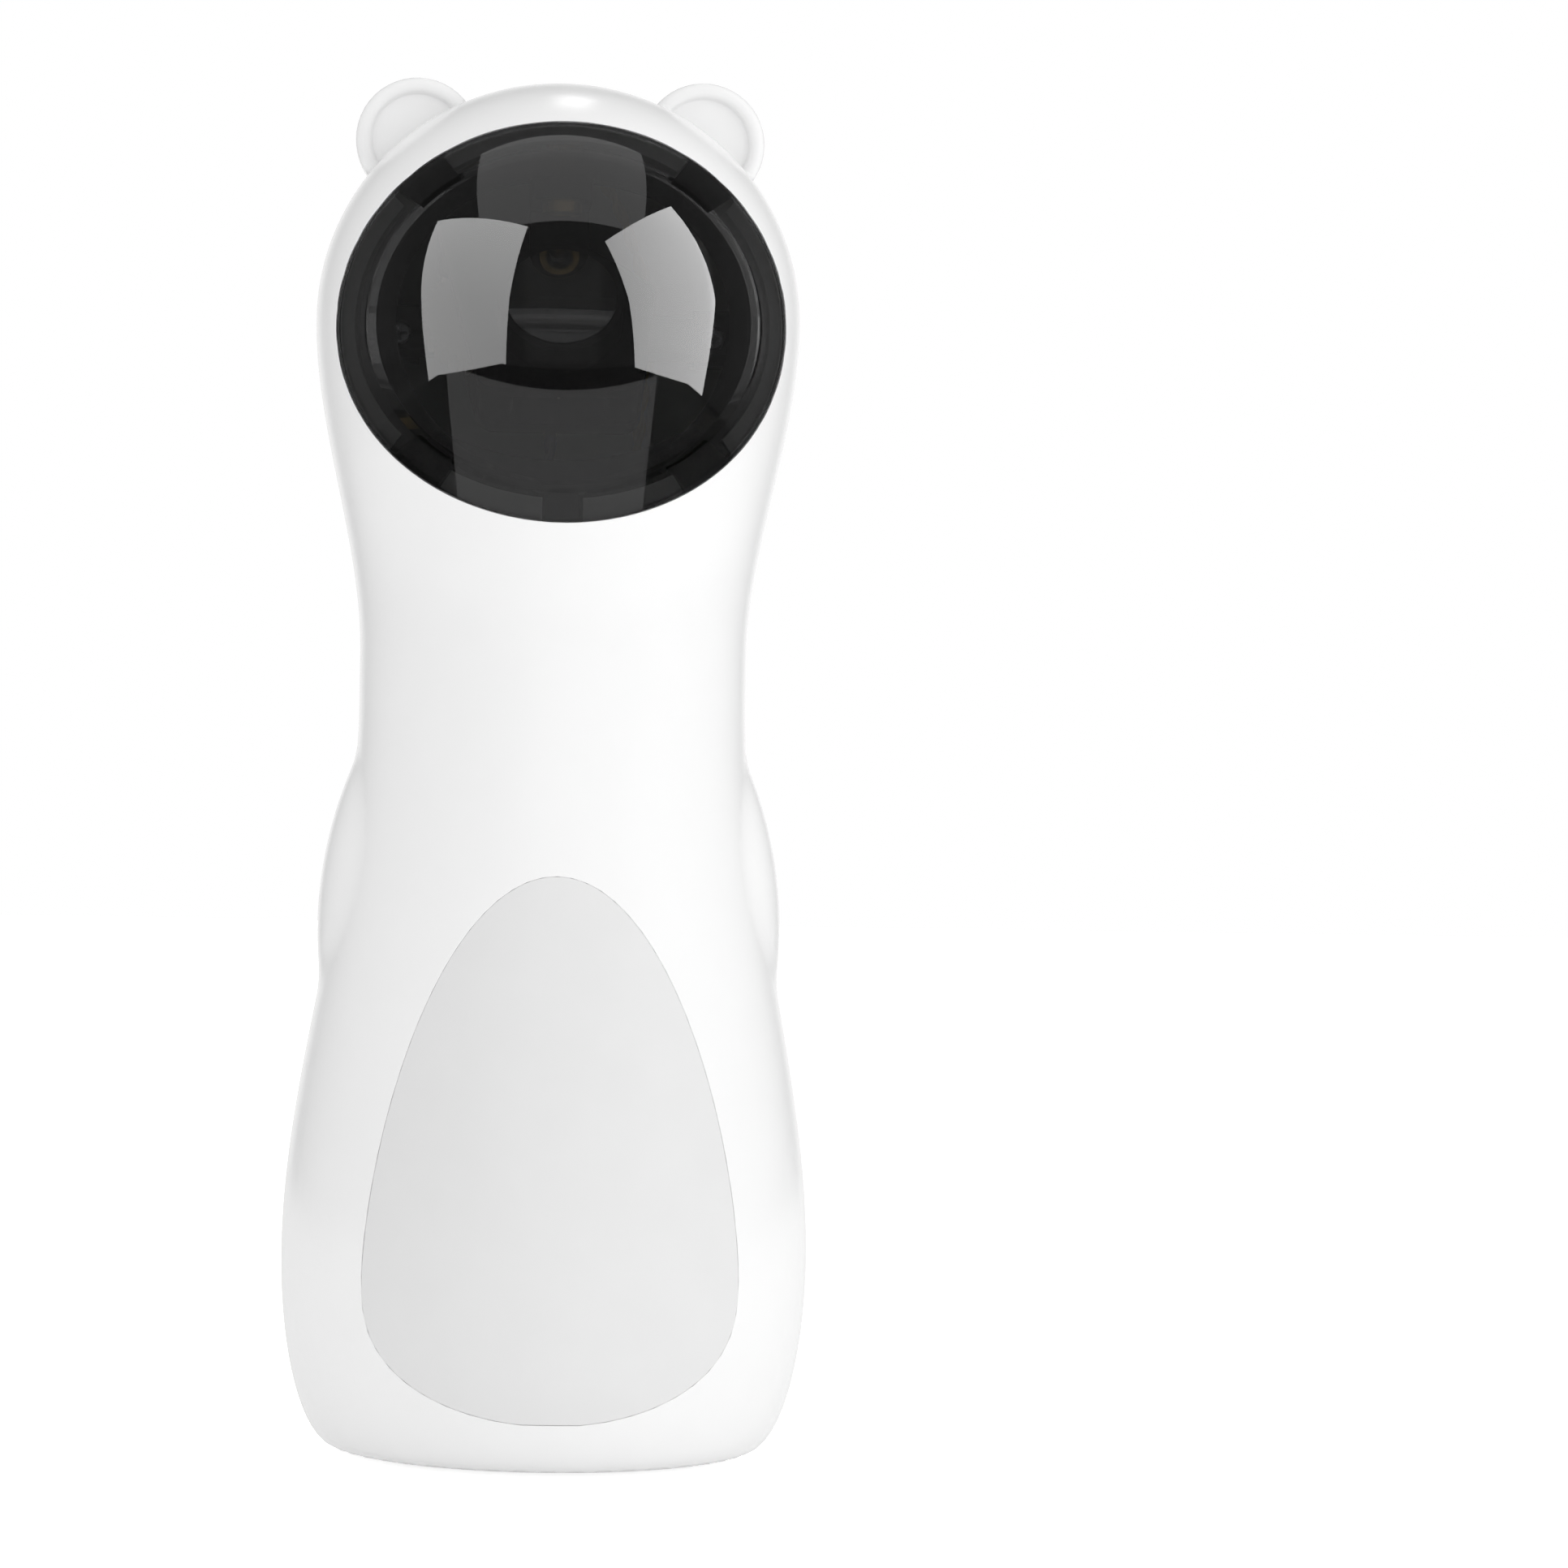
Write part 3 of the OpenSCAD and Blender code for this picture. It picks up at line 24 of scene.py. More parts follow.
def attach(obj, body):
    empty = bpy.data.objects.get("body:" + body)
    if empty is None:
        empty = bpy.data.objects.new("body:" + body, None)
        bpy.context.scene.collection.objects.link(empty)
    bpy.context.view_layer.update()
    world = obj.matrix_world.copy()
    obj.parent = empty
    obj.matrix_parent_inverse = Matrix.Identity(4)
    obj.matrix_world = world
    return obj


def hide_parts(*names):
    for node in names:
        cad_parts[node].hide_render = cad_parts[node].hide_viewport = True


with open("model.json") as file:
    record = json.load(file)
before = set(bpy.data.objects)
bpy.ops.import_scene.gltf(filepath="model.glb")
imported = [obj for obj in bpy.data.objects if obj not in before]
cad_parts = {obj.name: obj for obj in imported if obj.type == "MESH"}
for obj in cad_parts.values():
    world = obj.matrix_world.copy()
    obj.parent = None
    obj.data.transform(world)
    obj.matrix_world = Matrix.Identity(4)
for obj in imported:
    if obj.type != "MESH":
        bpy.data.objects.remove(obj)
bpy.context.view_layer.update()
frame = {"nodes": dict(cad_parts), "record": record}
MM = 0.001
MERGED = 0.002 * MM  # how near each other two points of a grown mesh are one
DOUBLED = 0.001 * MM  # the same for a CAD node
TINY = 1e-9  # keeps a divisor off 0
log = logging.getLogger("cat_laser_toy")

Array = np.ndarray
Colour = tuple[float, float, float, float]
Triple = tuple[float, float, float]
BMesh = bmesh.types.BMesh
Face = bmesh.types.BMFace
Material = bpy.types.Material
Mesh = bpy.types.Mesh
Node = bpy.types.Node
Piece = bpy.types.Object
Socket = bpy.types.NodeSocket
Vert = bmesh.types.BMVert


# ---- Node trees ----


class Field:
    """A value in a geometry node tree that can be used in sums."""

    def __init__(self, tree: "Wires", socket: Socket) -> None:
        """Wraps an output socket of a tree."""
        self.tree, self.socket = tree, socket

    def apply(self, operation: str, *others: "Field | float") -> "Field":
        """Works a sum out with a Math node.

        Args:
            operation: the node's operation.
            others: what it takes after this value.

        Returns:
            The result.
        """
        inputs = dict(enumerate((self, *others)))
        node = self.tree.add("ShaderNodeMath", inputs, operation=operation)
        return Field(self.tree, node.outputs[0])

    __add__ = partialmethod(apply, "ADD")
    __sub__ = partialmethod(apply, "SUBTRACT")
    __mul__ = partialmethod(apply, "MULTIPLY")
    __truediv__ = partialmethod(apply, "DIVIDE")
    __pow__ = partialmethod(apply, "POWER")

    def arc(self) -> "Field":
        """The other leg of a unit right triangle, for a value kept from 0 to 1."""
        held = self.apply("MAXIMUM", 0.0).apply("MINIMUM", 1.0)
        return (held * held * -1.0 + 1.0).apply("SQRT")


class Wires:
    """A node tree while it is being made."""

    def __init__(self, tree: bpy.types.NodeTree) -> None:
        """Takes up a tree."""
        self.nodes, self.links = tree.nodes, tree.links

    def add(self, kind: str, inputs: dict | None = None, **settings: object) -> Node:
        """Adds a node.

        Args:
            kind: the node's type.
            inputs: what its input sockets get, by name or number.
            settings: its own settings.

        Returns:
            The node.
        """
        node = self.nodes.new(kind)
        for key, value in settings.items():
            setattr(node, key, value)
        self.feed(node, inputs or {})
        return node

    def feed(self, node: Node, inputs: dict) -> None:
        """Links each input that gets a socket or a Field, and sets the others.

        Args:
            node: the node.
            inputs: what its input sockets get, by name or number.
        """
        for name, value in inputs.items():
            value = value.socket if isinstance(value, Field) else value
            if isinstance(value, Socket):
                self.links.new(value, node.inputs[name])
            else:
                node.inputs[name].default_value = value


# ---- Finishes ----


class Grain(Enum):
    """How much finer the relief of a finish runs along each axis."""

    MOULDED = (1, 1, 1)
    BRUSHED = (14, 14, 1)
    TURNED = (1, 1, 14)


class Paint(Wires):
    """A material's node tree, with its patterns in the piece's own coordinates."""

    noise_reach = (0.3, 0.7)  # values between which soft noise mostly lies
    bump_strength = 0.6

    def __init__(self, name: str) -> None:
        """Starts a material with its shader.

        Args:
            name: the material's name.
        """
        self.material = new_material(name)
        super().__init__(self.material.node_tree)
        self.shader = self.nodes["Principled BSDF"]
        self.place = self.add("ShaderNodeTexCoord").outputs["Object"]

    def noise(self, size: float, detail: float = 2, grain: Grain = Grain.MOULDED) -> Socket:
        """Soft noise.

        Args:
            size: size of a blotch, in millimetres.
            detail: number of finer layers.
            grain: how it runs.

        Returns:
            The value, within about noise_reach.
        """
        where = self.add("ShaderNodeMapping", {"Vector": self.place, "Scale": grain.value})
        inputs = {"Vector": where.outputs["Vector"], "Scale": 1 / (size * MM), "Detail": detail}
        return self.add("ShaderNodeTexNoise", inputs).outputs["Fac"]

    def colour(
        self, value: Socket, first: Colour, second: Colour, edges: tuple[float, float] = (0.35, 0.65)
    ) -> None:
        """Mixes two colours into the shader's colour.

        Args:
            value: the mixing value.
            first: colour where the value is low.
            second: colour where the value is high.
            edges: values at which the mix starts and ends.
        """
        ramp = self.add("ShaderNodeValToRGB", {"Fac": value})
        for stop, position, colour in zip(ramp.color_ramp.elements, edges, (first, second)):
            stop.position, stop.color = position, colour
        self.feed(self.shader, {"Base Color": ramp.outputs["Color"]})

    def gloss(self, noise: Socket, low: float, high: float) -> None:
        """Spreads the shader's roughness over a range.

        Args:
            noise: what it goes by.
            low: roughness where the noise is low.
            high: roughness where the noise is high.
        """
        ends = dict(zip(("From Min", "From Max", "To Min", "To Max"), (*self.noise_reach, low, high)))
        node = self.add("ShaderNodeMapRange", {"Value": noise, **ends})
        self.feed(self.shader, {"Roughness": node.outputs["Result"]})

    def bump(self, height: Socket, distance: float) -> None:
        """Gives the shader a relief of a depth in metres, for heights from 0 to 1."""
        inputs = {"Height": height, "Strength": self.bump_strength, "Distance": distance}
        self.feed(self.shader, {"Normal": self.add("ShaderNodeBump", inputs).outputs["Normal"]})


@dataclass(frozen=True)
class Finish:
    """A solid surface with mottled colour, uneven gloss and fine relief.

    Sizes of the mottle and of the grain are in millimetres, relief is in metres.
    """

    name: str
    rgb: Triple
    roughness: float
    metallic: float = 0.0
    ior: float = 1.5
    tone: float = 0.03
    mottle: float = 9.0
    uneven: float = 0.06
    grain: Grain = Grain.MOULDED
    grain_size: float = 0.35
    relief: float = 0.000012
    coat: float = 0.0
    coat_roughness: float = 0.1

    def material(self) -> Material:
        """Makes the material.

        Returns:
            The material.
        """
        work = Paint(self.name)
        values = {
            "Metallic": self.metallic,
            "IOR": self.ior,
            "Coat Weight": self.coat,
            "Coat Roughness": self.coat_roughness,
        }
        work.feed(work.shader, values)
        self.dress(work)
        return work.material

    def dress(self, work: Paint) -> None:
        """Adds colour, gloss and relief.

        Args:
            work: the material that is being made.
        """
        work.colour(work.noise(self.mottle, 3), self.shade(-self.tone), self.shade(self.tone))
        low, high = self.roughness - self.uneven, self.roughness + self.uneven
        work.gloss(work.noise(self.mottle / 3, 4), low, high)
        work.bump(work.noise(self.grain_size, grain=self.grain), self.relief)

    def shade(self, change: float) -> Colour:
        """The colour made lighter or darker by a share."""
        return (*(min(1.0, c * (1 + change)) for c in self.rgb), 1.0)


@dataclass(frozen=True)
class Clear(Finish):
    """A see-through plastic or glass."""

    def dress(self, work: Paint) -> None:
        """Adds colour, gloss and relief, and lets light through."""
        super().dress(work)
        work.feed(work.shader, {"Transmission Weight": 1.0})


@dataclass(frozen=True)
class BoardFinish(Finish):
    """Green lacquer over copper tracks, which run along the edges of square cells."""

    track: Triple = (0.10, 0.30, 0.14)
    track_size: float = 2.2
    wander: float = 0.7
    track_edges: tuple[float, float] = (0.42, 0.5)

    def dress(self, work: Paint) -> None:
        """Draws the tracks.

        Args:
            work: the material that is being made.
        """
        inputs = {"Vector": work.place, "Scale": 1 / (self.track_size * MM), "Randomness": self.wander}
        cells = work.add("ShaderNodeTexVoronoi", inputs, distance="CHEBYCHEV", feature="F1")
        away = cells.outputs["Distance"]
        work.colour(away, self.shade(0), (*self.track, 1), self.track_edges)
        work.gloss(work.noise(self.mottle), self.roughness, self.roughness + self.uneven)
        work.bump(away, self.relief)


@dataclass(frozen=True)
class WrapFinish(Finish):
    """A cell's sleeve: a plain colour with a band of another above a height."""

    band: Triple = (0.55, 0.36, 0.12)
    band_from: float = 52.0
    band_blur: float = 0.1
    band_edges: tuple[float, float] = (0.2, 0.8)

    def dress(self, work: Paint) -> None:
        """Colours the sleeve by height.

        Args:
            work: the material that is being made.
        """
        split = work.add("ShaderNodeSeparateXYZ", {"Vector": work.place})
        edges = {
            "Value": split.outputs["Z"],
            "From Min": (self.band_from - self.band_blur) * MM,
            "From Max": (self.band_from + self.band_blur) * MM,
        }
        share = work.add("ShaderNodeMapRange", edges).outputs["Result"]
        work.colour(share, self.shade(0), (*self.band, 1), self.band_edges)
        work.gloss(work.noise(self.mottle), self.roughness - self.uneven, self.roughness + self.uneven)
        work.bump(work.noise(self.grain_size), self.relief)


WHITE, PANEL, SMOKE = (0.85,) * 3, (0.72,) * 3, (0.145,) * 3
FINISHES = (
    Finish("case_white", WHITE, 0.22, tone=0.004, uneven=0.02, relief=0.000003),
    Finish("panel_grey", PANEL, 0.40, tone=0.006, uneven=0.03, relief=0.000008),
    Finish("control_grey", (0.36, 0.37, 0.38), 0.45, tone=0.02),
    Clear(
        "smoked_visor", SMOKE, 0.015, ior=1.49,
        tone=0.01, mottle=30, uneven=0.005, grain_size=8, relief=0.000001,
    ),
    Finish("dark_plastic", (0.035, 0.036, 0.04), 0.5, tone=0.08),
    Finish("foot_rubber", (0.10, 0.10, 0.105), 0.75, tone=0.1, grain_size=0.25, relief=0.00003),
    Finish("steel", (0.62, 0.63, 0.65), 0.26, metallic=1, grain=Grain.TURNED),
    Finish("motor_can", (0.58, 0.59, 0.61), 0.32, metallic=1, grain=Grain.BRUSHED),
    Finish("inlet_shell", (0.66, 0.67, 0.68), 0.28, metallic=1, grain=Grain.BRUSHED),
    Finish("brass", (0.72, 0.52, 0.22), 0.24, metallic=1, grain=Grain.TURNED),
    Finish("gear_cream", (0.72, 0.68, 0.54), 0.42),
    BoardFinish("board_green", (0.03, 0.16, 0.07), 0.34, relief=0.00002),
    Clear("clear_plastic", (0.92, 0.93, 0.95), 0.12, tone=0.01, uneven=0.03),
    Clear("lens_glass", (0.90, 0.94, 0.97), 0.03, tone=0.01, uneven=0.01, relief=0.000001),
    Finish("mirror_glass", (0.86, 0.87, 0.88), 0.03, metallic=1, uneven=0.01, relief=0.0000005),
    WrapFinish("cell_wrap", (0.05, 0.06, 0.07), 0.32, coat=0.4),
    Finish("lead_red", (0.52, 0.03, 0.03), 0.38, tone=0.05),
    Finish("lead_blue", (0.04, 0.10, 0.42), 0.38, tone=0.05),
    Finish("lead_yellow", (0.70, 0.50, 0.04), 0.38, tone=0.05),
)


# ---- The case's true form ----


def in_parts(count: int, size: int = 4000) -> Iterator[slice]:
    """Slices that cover a long array a part at a time."""
    for start in range(0, count, size):
        yield slice(start, start + size)


def unit(rows: Array) -> Array:
    """Rows scaled to a length of 1."""
    return rows / np.linalg.norm(rows, axis=1)[:, None]


def smooth_step(z: Array, low: float, high: float) -> Array:
    """A smooth step from 0 to 1 between two heights."""
    u = np.clip((z - low) / (high - low), 0, 1)
    return u * u * (3 - 2 * u)


@dataclass(frozen=True)
class CaseForm:
    """The outside of the case, as the CAD model defines it, in millimetres."""

    base_r: float = 33.8
    hip_r: float = 43.0
    hip_z: float = 32.0
    foot_z: float = 0.8
    neck_r: float = 31.6
    neck_low: float = 122.0
    neck_high: float = 130.0
    head_r: float = 39.6
    head_z: float = 184.5
    crown_h: float = 39.0
    arm_z: float = 85.0
    arm_proud: float = 2.1
    arm_front_r: float = 68.6
    arm_plan_r: float = 18.4
    arm_below: float = 15.0
    arm_above: float = 31.0
    crease: float = 0.9
    round_steps: int = 260
    side_steps: int = 900
    far: float = 50.0  # distance given where an arm doesn't reach
    settle_rounds: int = 3

    def outline(self) -> Array:
        """The outline from the floor to the crown.

        Returns:
            Rows of radius, height and running length.
        """
        turn = np.linspace(0, np.pi / 2, self.round_steps)
        edge = np.c_[
            self.base_r + (self.hip_r - self.base_r) * np.sin(turn),
            self.foot_z + (self.hip_z - self.foot_z) * (1 - np.cos(turn)),
        ]
        height = np.linspace(self.hip_z, self.head_z, self.side_steps)[1:]
        middle = np.c_[self.radius(height), height]
        crown = np.c_[self.head_r * np.cos(turn), self.head_z + self.crown_h * np.sin(turn)][1:]
        line = np.vstack([edge, middle, crown])
        length = np.r_[0, np.cumsum(np.hypot(*np.diff(line, axis=0).T))]
        return np.c_[line, length]

    def radius(self, z: Array) -> Array:
        """Radius of the outside, but for the arms.

        Args:
            z: heights.

        Returns:
            The radius at each.
        """
        waist = smooth_step(z, self.hip_z, self.neck_low)
        throat = smooth_step(z, self.neck_high, self.head_z)
        r = self.hip_r + (self.neck_r - self.hip_r) * waist + (self.head_r - self.neck_r) * throat
        low = np.clip((self.hip_z - z) / (self.hip_z - self.foot_z), 0, 1)
        high = np.clip((z - self.head_z) / self.crown_h, 0, 1)
        r = r - (self.hip_r - self.base_r) * (1 - np.sqrt(1 - low**2))
        return r * np.sqrt(1 - high**2)

    @property
    def arm_axis(self) -> float:
        """Distance of each arm's own axis from the middle of the case."""
        return float(self.radius(np.array(self.arm_z))) + self.arm_proud - self.arm_plan_r

    def arm_radius(self, z: Array) -> Array:
        """Radius of an arm about its own axis.

        Args:
            z: heights.

        Returns:
            The radius at each, below 0 where there is no arm.
        """
        up = z - self.arm_z
        r = self.arm_plan_r - self.arm_front_r + np.sqrt(np.maximum(self.arm_front_r**2 - up**2, 0))
        return np.where((up > -self.arm_below) & (up < self.arm_above), r, -self.far)

    def nearest(self, r: Array, z: Array) -> tuple[Array, Array, Array]:
        """Finds the nearest place on the outline.

        Args:
            r: distances from the axis.
            z: heights.

        Returns:
            Running length there, signed distance outwards, and normals across and up.
        """
        line = self.outline()
        best = np.empty(len(r), int)
        for part in in_parts(len(r)):
            gap = (line[None, :, 0] - r[part, None]) ** 2 + (line[None, :, 1] - z[part, None]) ** 2
            best[part] = gap.argmin(1)
        slope = np.gradient(line[:, :2], line[:, 2], axis=0)
        normal = unit(np.c_[slope[:, 1], -slope[:, 0]])
        away = np.c_[r, z] - line[best, :2]
        length = line[best, 2] + (away * slope[best]).sum(1)
        return np.clip(length, 0, line[-1, 2]), (away * normal[best]).sum(1), normal[best]

    def distance(self, points: Array) -> tuple[Array, Array]:
        """Signed distance from the outside of the case with its arms.

        Args:
            points: places.

        Returns:
            The distances and the outward normals.
        """
        x, y, z = points.T
        r = np.hypot(x, y)
        _, body, flat = self.nearest(r, z)
        safe = np.maximum(r, TINY)
        body_n = np.c_[flat[:, 0] * x / safe, flat[:, 0] * y / safe, flat[:, 1]]
        side = np.where(x < 0, -1, 1)
        across = x - side * self.arm_axis
        plan = np.maximum(np.hypot(across, y), TINY)
        up = np.clip(z - self.arm_z, -self.arm_below, self.arm_above)
        slope = -up / np.sqrt(self.arm_front_r**2 - up**2)
        lean = 1 / np.hypot(1, slope)
        arm = (plan - self.arm_radius(z)) * lean
        arm_n = np.c_[lean * across / plan, lean * y / plan, -slope * lean]
        arm = np.where(side * across > 0, arm, self.far)
        mix = np.clip(0.5 + 0.5 * (body - arm) / self.crease, 0, 1)
        normal = unit(body_n * (1 - mix)[:, None] + arm_n * mix[:, None])
        return body * (1 - mix) + arm * mix - self.crease * mix * (1 - mix), normal

    def settle(self, points: Array) -> tuple[Array, Array]:
        """Moves points square onto the outside.

        Args:
            points: places near the outside.

        Returns:
            The places and the outward normals.
        """
        for _ in range(self.settle_rounds):
            gap, normal = self.distance(points)
            points = points - gap[:, None] * normal
        return points, self.distance(points)[1]


# ---- Meshes and pieces ----


def merged_node(node: str) -> BMesh:
    """Copies a CAD node's mesh and makes its doubled corners one.

    Args:
        node: the node's name.

    Returns:
        The copy.
    """
    mesh = bmesh.new()
    mesh.from_mesh(frame["nodes"][node].data)
    bmesh.ops.remove_doubles(mesh, verts=mesh.verts, dist=DOUBLED)
    return mesh


def read_rows(rows: bpy.types.bpy_prop_collection, name: str) -> Array:
    """Reads a vector from each element of a mesh's collection.

    Args:
        rows: the collection.
        name: the vector's name.

    Returns:
        Rows of three values.
    """
    values = np.zeros(len(rows) * 3, np.float32)
    rows.foreach_get(name, values)
    return values.reshape(-1, 3)


def shade_by_edges(data: Mesh, sharp: float) -> None:
    """Shades a mesh smooth but for the edges above an angle."""
    data.polygons.foreach_set("use_smooth", [True] * len(data.polygons))
    data.set_sharp_from_angle(angle=sharp)


def show(name: str, data: bpy.types.ID) -> Piece:
    """Puts a mesh, lamp or camera into the scene.

    Args:
        name: the object's name.
        data: what it shows.

    Returns:
        The object.
    """
    shown = bpy.data.objects.new(name, data)
    bpy.context.scene.collection.objects.link(shown)
    return shown


def new_material(name: str) -> Material:
    """Makes a material of nodes.

    Args:
        name: its name.

    Returns:
        The material.
    """
    material = bpy.data.materials.new(name)
    material.use_nodes = True
    return material


def new_mesh(name: str, points: list, edges: list, faces: list | None = None) -> Mesh:
    """Makes a mesh.

    Args:
        name: its name.
        points: its points, in metres.
        edges: pairs of their numbers.
        faces: rings of their numbers.

    Returns:
        The mesh.
    """
    data = bpy.data.meshes.new(name)
    data.from_pydata(points, edges, faces or [])
    return data


def place(piece: Piece, body: str, slot: str, *nodes: str) -> Piece:
    """Rides a piece on a body in place of CAD nodes and reports it.

    Args:
        piece: the finished piece.
        body: the body's name.
        slot: the record's material slot; not used.
        nodes: the CAD nodes that it stands for.

    Returns:
        The piece.
    """
    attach(piece, body)
    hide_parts(*nodes)
    log.info("%s stands for %s: %d faces", piece.name, ", ".join(nodes), len(piece.data.polygons))
    return piece


def face_outwards(piece: Piece, sharp: float) -> None:
    """Merges doubles, turns a closed mesh's faces outwards and shades it by its edges.

    Args:
        piece: the piece.
        sharp: angle above which an edge stays sharp, in degrees.
    """
    mesh = bmesh.new()
    mesh.from_mesh(piece.data)
    bmesh.ops.remove_doubles(mesh, verts=mesh.verts, dist=MERGED)
    bmesh.ops.recalc_face_normals(mesh, faces=mesh.faces)
    if mesh.calc_volume(signed=True) < 0:
        bmesh.ops.reverse_faces(mesh, faces=mesh.faces)
    mesh.to_mesh(piece.data)
    mesh.free()
    shade_by_edges(piece.data, math.radians(sharp))


# ---- Shells with their skin laid again ----


@dataclass
class Sheet:
    """The border of a shell's skin, rolled out flat.

    Points are rows of scaled turn and running length, and edges are pairs of their numbers.
    """

    points: Array
    edges: Array

    def within(self, spots: Array) -> Array:
        """Tells which spots lie inside the border, by counting crossings.

        Args:
            spots: rows of scaled turn and running length.

        Returns:
            A truth value for each.
        """
        a, b = self.points[self.edges[:, 0]], self.points[self.edges[:, 1]]
        inside = np.zeros(len(spots), bool)
        for part in in_parts(len(spots)):
            u, v = spots[part, 0, None], spots[part, 1, None]
            spans = (a[None, :, 1] > v) != (b[None, :, 1] > v)
            rise = np.where(b[:, 1] == a[:, 1], TINY, b[:, 1] - a[:, 1])
            at = a[None, :, 0] + (v - a[None, :, 1]) * (b[:, 0] - a[:, 0]) / rise
            inside[part] = (spans & (u < at)).sum(1) % 2 == 1
        return inside


@dataclass
class Shell:
    """One half of the case: its exact solid with a smooth outer skin."""

    node: str
    facing: int
    form: CaseForm
    step: float = 1.5  # between the skin's points
    edge_step: float = 1.0  # between the points along its border
    skin_gap: float = 0.12  # how near the true outside a face counts as skin
    sliver: float = 0.04  # width below which a face's own direction says little
    outward: float = 0.85  # cosine within which a face looks the outside's way
    round_off: float = 0.15  # size of the rounding along the border
    ring_shares: tuple[tuple[float, float], ...] = ((0.29, 0.29), (1.0, 0.0))  # of round_off
    least_push: float = 0.5  # below which a border point has no clear inner side
    probe: float = 0.05  # how far off the border its inner side is tested
    crease_lines: tuple[float, ...] = (0.13, 0.4, 0.75, 1.1)  # beside a crease, in its widths
    crease_gap: float = 0.55  # kept clear round them, in steps
    border_gap: float = 0.45  # kept clear round the border, in steps
    gap_rows: int = 2000  # points measured at a time
    top_gap: float = 0.5  # kept clear below the crown
    edge_gap: float = 0.3  # kept clear beside the seam
    pole_r: float = 0.02  # how near the axis a point is the crown's own
    pole_steps: int = 60
    least_r: float = 4.0  # radius below which the sheet isn't squeezed further
    turn_scale: float = 36.0  # width of the sheet for each radian of turn
    weld: float = 1e-7
    sharp_angle: float = math.radians(32)
    own_normal: float = 0.93  # cosine within which a face takes the true normal

    def build(self, finish: Material) -> Piece:
        """Makes the shell.

        Args:
            finish: its material.

        Returns:
            The piece, which replaces its CAD node.
        """
        mesh = merged_node(self.node)
        mesh.verts.layers.float_vector.new("true_normal")
        skin = self.find_skin(mesh)
        rim = self.split_rim(mesh, skin)
        self.lay(mesh, rim)
        data = bpy.data.meshes.new(self.node + "_skin")
        mesh.to_mesh(data)
        mesh.free()
        self.smooth(data)
        data.materials.append(finish)
        return place(show(self.node + "_skin", data), "case", "case_white", self.node)

    def find_skin(self, mesh: BMesh) -> list[Face]:
        """Finds the faces that lie on the outside of the case.

        A sliver's own direction says little, so one with all its corners outside counts.

        Args:
            mesh: the solid.

        Returns:
            The faces.
        """
        mesh.verts.ensure_lookup_table()
        mesh.verts.index_update()
        places = np.array([v.co for v in mesh.verts]) / MM
        gap, normal = self.form.distance(places)
        across = np.hypot(*places[:, :2].T)
        beside_base = across > self.form.base_r - self.skin_gap
        deepest_blend = self.form.crease / 4
        near = np.abs(gap) < self.skin_gap + deepest_blend
        near &= beside_base | (places[:, 2] > self.form.hip_z)
        found = []
        for face in mesh.faces:
            corners = [v.index for v in face.verts]
            if not all(near[corners]):
                continue
            longest = max(edge.calc_length() for edge in face.edges)
            thin = 2 * face.calc_area() < longest * self.sliver * MM
            if thin or face.normal.dot(Vector(normal[corners].mean(0))) > self.outward:
                found.append(face)
        return found

    def split_rim(self, mesh: BMesh, skin: list[Face]) -> list[tuple]:
        """Cuts the skin's border into short steps and takes the skin away.

        Args:
            mesh: the solid.
            skin: its outer faces.

        Returns:
            Border edges, each with whether the wall beside it falls away inwards.
        """
        on_skin = set(skin)
        border = []
        for edge in mesh.edges:
            beside = [f in on_skin for f in edge.link_faces]
            if any(beside) and not all(beside):
                outer = next(f for f in edge.link_faces if f in on_skin)
                wall = next(f for f in edge.link_faces if f not in on_skin)
                middle = (edge.verts[0].co + edge.verts[1].co) / 2
                falls = (wall.calc_center_median() - middle).dot(outer.normal) < 0
                border.append((edge, falls))
        pieces = []
        for edge, falls in border:
            cuts = int(edge.calc_length() / MM / self.edge_step)
            start = edge.verts[0]
            rest = edge
            for left in range(cuts, 0, -1):
                rest_new, vert = bmesh.utils.edge_split(rest, start, 1 / (left + 1))
                first, rest = (rest_new, rest) if start in rest_new.verts else (rest, rest_new)
                pieces.append((first, falls))
                start = vert
            pieces.append((rest, falls))
        keep = [f for f in mesh.faces if f not in on_skin]
        bmesh.ops.delete(mesh, geom=skin, context="FACES")
        bmesh.ops.triangulate(mesh, faces=[f for f in keep if len(f.verts) > 3])
        return pieces

    def flatten(self, places: Array) -> Array:
        """Rolls places on the outside out to a flat sheet.

        Args:
            places: places in millimetres.

        Returns:
            Rows of scaled turn and running length.
        """
        x, y, z = places.T
        line = self.form.outline()
        on_crown = z > self.form.head_z
        length = np.interp(z, line[:, 1], line[:, 2])
        if on_crown.any():
            length[on_crown] = self.form.nearest(np.hypot(x, y)[on_crown], z[on_crown])[0]
        turn = np.arctan2(x, -self.facing * y)
        return np.c_[turn * self.turn_scale, length]

    def fold(self, flat: Array) -> tuple[Array, Array]:
        """Rolls a flat sheet back onto the outside.

        Args:
            flat: rows of scaled turn and running length.

        Returns:
            Places and outward normals.
        """
        line = self.form.outline()
        turn = flat[:, 0] / self.turn_scale
        radius = np.interp(flat[:, 1], line[:, 2], line[:, 0])
        z = np.interp(flat[:, 1], line[:, 2], line[:, 1])
        offset = self.form.arm_axis
        across = np.abs(np.sin(turn)) * offset
        reach = self.form.arm_radius(z) ** 2 - (offset * np.cos(turn)) ** 2
        arm = np.where(self.form.arm_radius(z) > 0, across + np.sqrt(np.maximum(reach, 0)), 0)
        radius = np.maximum(radius, np.where(reach > 0, arm, 0))
        places = np.c_[radius * np.sin(turn), -self.facing * radius * np.cos(turn), z]
        return self.form.settle(places)

